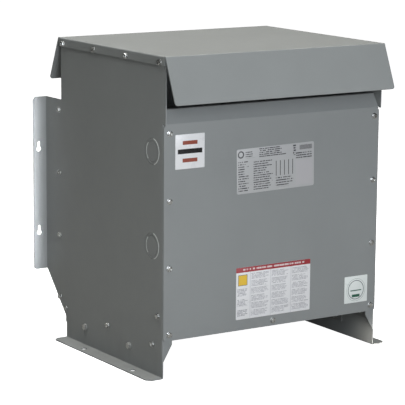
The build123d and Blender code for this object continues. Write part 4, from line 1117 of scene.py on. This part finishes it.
def place_camera():
    data = bpy.data.cameras.new("camera")
    data.lens = CAMERA_LENS
    data.sensor_width = 36.0
    data.clip_end = 60.0
    camera = bpy.data.objects.new("camera", data)
    turn = Matrix((CAMERA_FORWARD.cross(CAMERA_UP), CAMERA_UP, -CAMERA_FORWARD)).transposed()
    camera.matrix_world = Matrix.Translation(CAMERA_PLACE) @ turn.to_4x4()
    bpy.context.scene.collection.objects.link(camera)
    bpy.context.scene.camera = camera


def soft_light(name, place, target, size, power, colour, spread=math.pi):
    """Rectangular soft light at a place, aimed at a point."""
    data = bpy.data.lights.new(name, "AREA")
    data.shape = "RECTANGLE"
    data.size, data.size_y = size
    data.energy = power
    data.color = colour
    data.spread = spread
    light = bpy.data.objects.new(name, data)
    light.location = place
    light.rotation_mode = "QUATERNION"
    light.rotation_quaternion = (target - Vector(place)).to_track_quat("-Z", "Y")
    light.visible_camera = False
    bpy.context.scene.collection.objects.link(light)


def white_surroundings():
    """Surroundings that the lens sees as white, and that light the object only softly."""
    world = bpy.data.worlds.new("studio")
    bpy.context.scene.world = world
    world.use_nodes = True
    tree = world.node_tree
    fill = tree.nodes["Background"]
    fill.inputs["Color"].default_value = (0.98, 0.99, 1.0, 1.0)
    fill.inputs["Strength"].default_value = SURROUNDINGS_LIGHT
    seen = tree.nodes.new("ShaderNodeBackground")
    seen.inputs["Strength"].default_value = 1.0
    seen.inputs["Color"].default_value = (1.0, 1.0, 1.0, 1.0)
    choose = tree.nodes.new("ShaderNodeMixShader")
    feed(tree, choose.inputs[0], tree.nodes.new("ShaderNodeLightPath").outputs["Is Camera Ray"])
    feed(tree, choose.inputs[1], fill.outputs[0])
    feed(tree, choose.inputs[2], seen.outputs[0])
    feed(tree, tree.nodes["World Output"].inputs["Surface"], choose.outputs[0])


def pale_floor():
    """Pale floor that shows white with a faint shadow and throws back only part of the light."""
    deselect_all()
    bpy.ops.mesh.primitive_circle_add(
        vertices=96, radius=FLOOR_RADIUS, fill_type="NGON", location=(0, 0, -FLOOR_DROP)
    )
    floor = name_new("floor")
    material = bpy.data.materials.new("pale_floor")
    material.use_nodes = True
    tree = material.node_tree
    tree.nodes.remove(tree.nodes["Principled BSDF"])
    seen = tree.nodes.new("ShaderNodeBsdfDiffuse")
    seen.inputs["Color"].default_value = (0.92, 0.92, 0.92, 1.0)
    glow = tree.nodes.new("ShaderNodeEmission")
    glow.inputs["Strength"].default_value = FLOOR_GLOW
    both = tree.nodes.new("ShaderNodeAddShader")
    feed(tree, both.inputs[0], seen.outputs[0])
    feed(tree, both.inputs[1], glow.outputs[0])
    thrown = tree.nodes.new("ShaderNodeBsdfDiffuse")
    thrown.inputs["Color"].default_value = FLOOR_BOUNCE
    choose = tree.nodes.new("ShaderNodeMixShader")
    feed(tree, choose.inputs[0], tree.nodes.new("ShaderNodeLightPath").outputs["Is Camera Ray"])
    feed(tree, choose.inputs[1], thrown.outputs[0])
    feed(tree, choose.inputs[2], both.outputs[0])
    feed(tree, tree.nodes["Material Output"].inputs["Surface"], choose.outputs[0])
    floor.data.materials.append(material)


place_camera()
white_surroundings()
pale_floor()
middle = (cad_box[0] + cad_box[1]) / 2
for name, place, size, power, colour in SOFT_LIGHTS:
    soft_light(name, place, middle, size, power, colour)
side_panel_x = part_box("left_side_panel")[0].x
under_case = Vector((-side_panel_x, -0.19, 0.012))
soft_light(
    "under_case_light", under_case + Vector((-0.50, -1.05, 0.0)), under_case,
    (0.05, 0.02), 0.038, (1.0, 0.93, 0.83), spread=math.radians(4),
)
beside_flange = Vector((side_panel_x - 0.03, -0.15, 0.275))
soft_light(
    "wall_flange_strip", beside_flange, beside_flange + Vector((0, 1.15, 0)),
    (0.03, 0.34), 0.27, (0.95, 0.96, 1.0), spread=math.radians(17),
)
bpy.context.scene.view_settings.view_transform = "Standard"
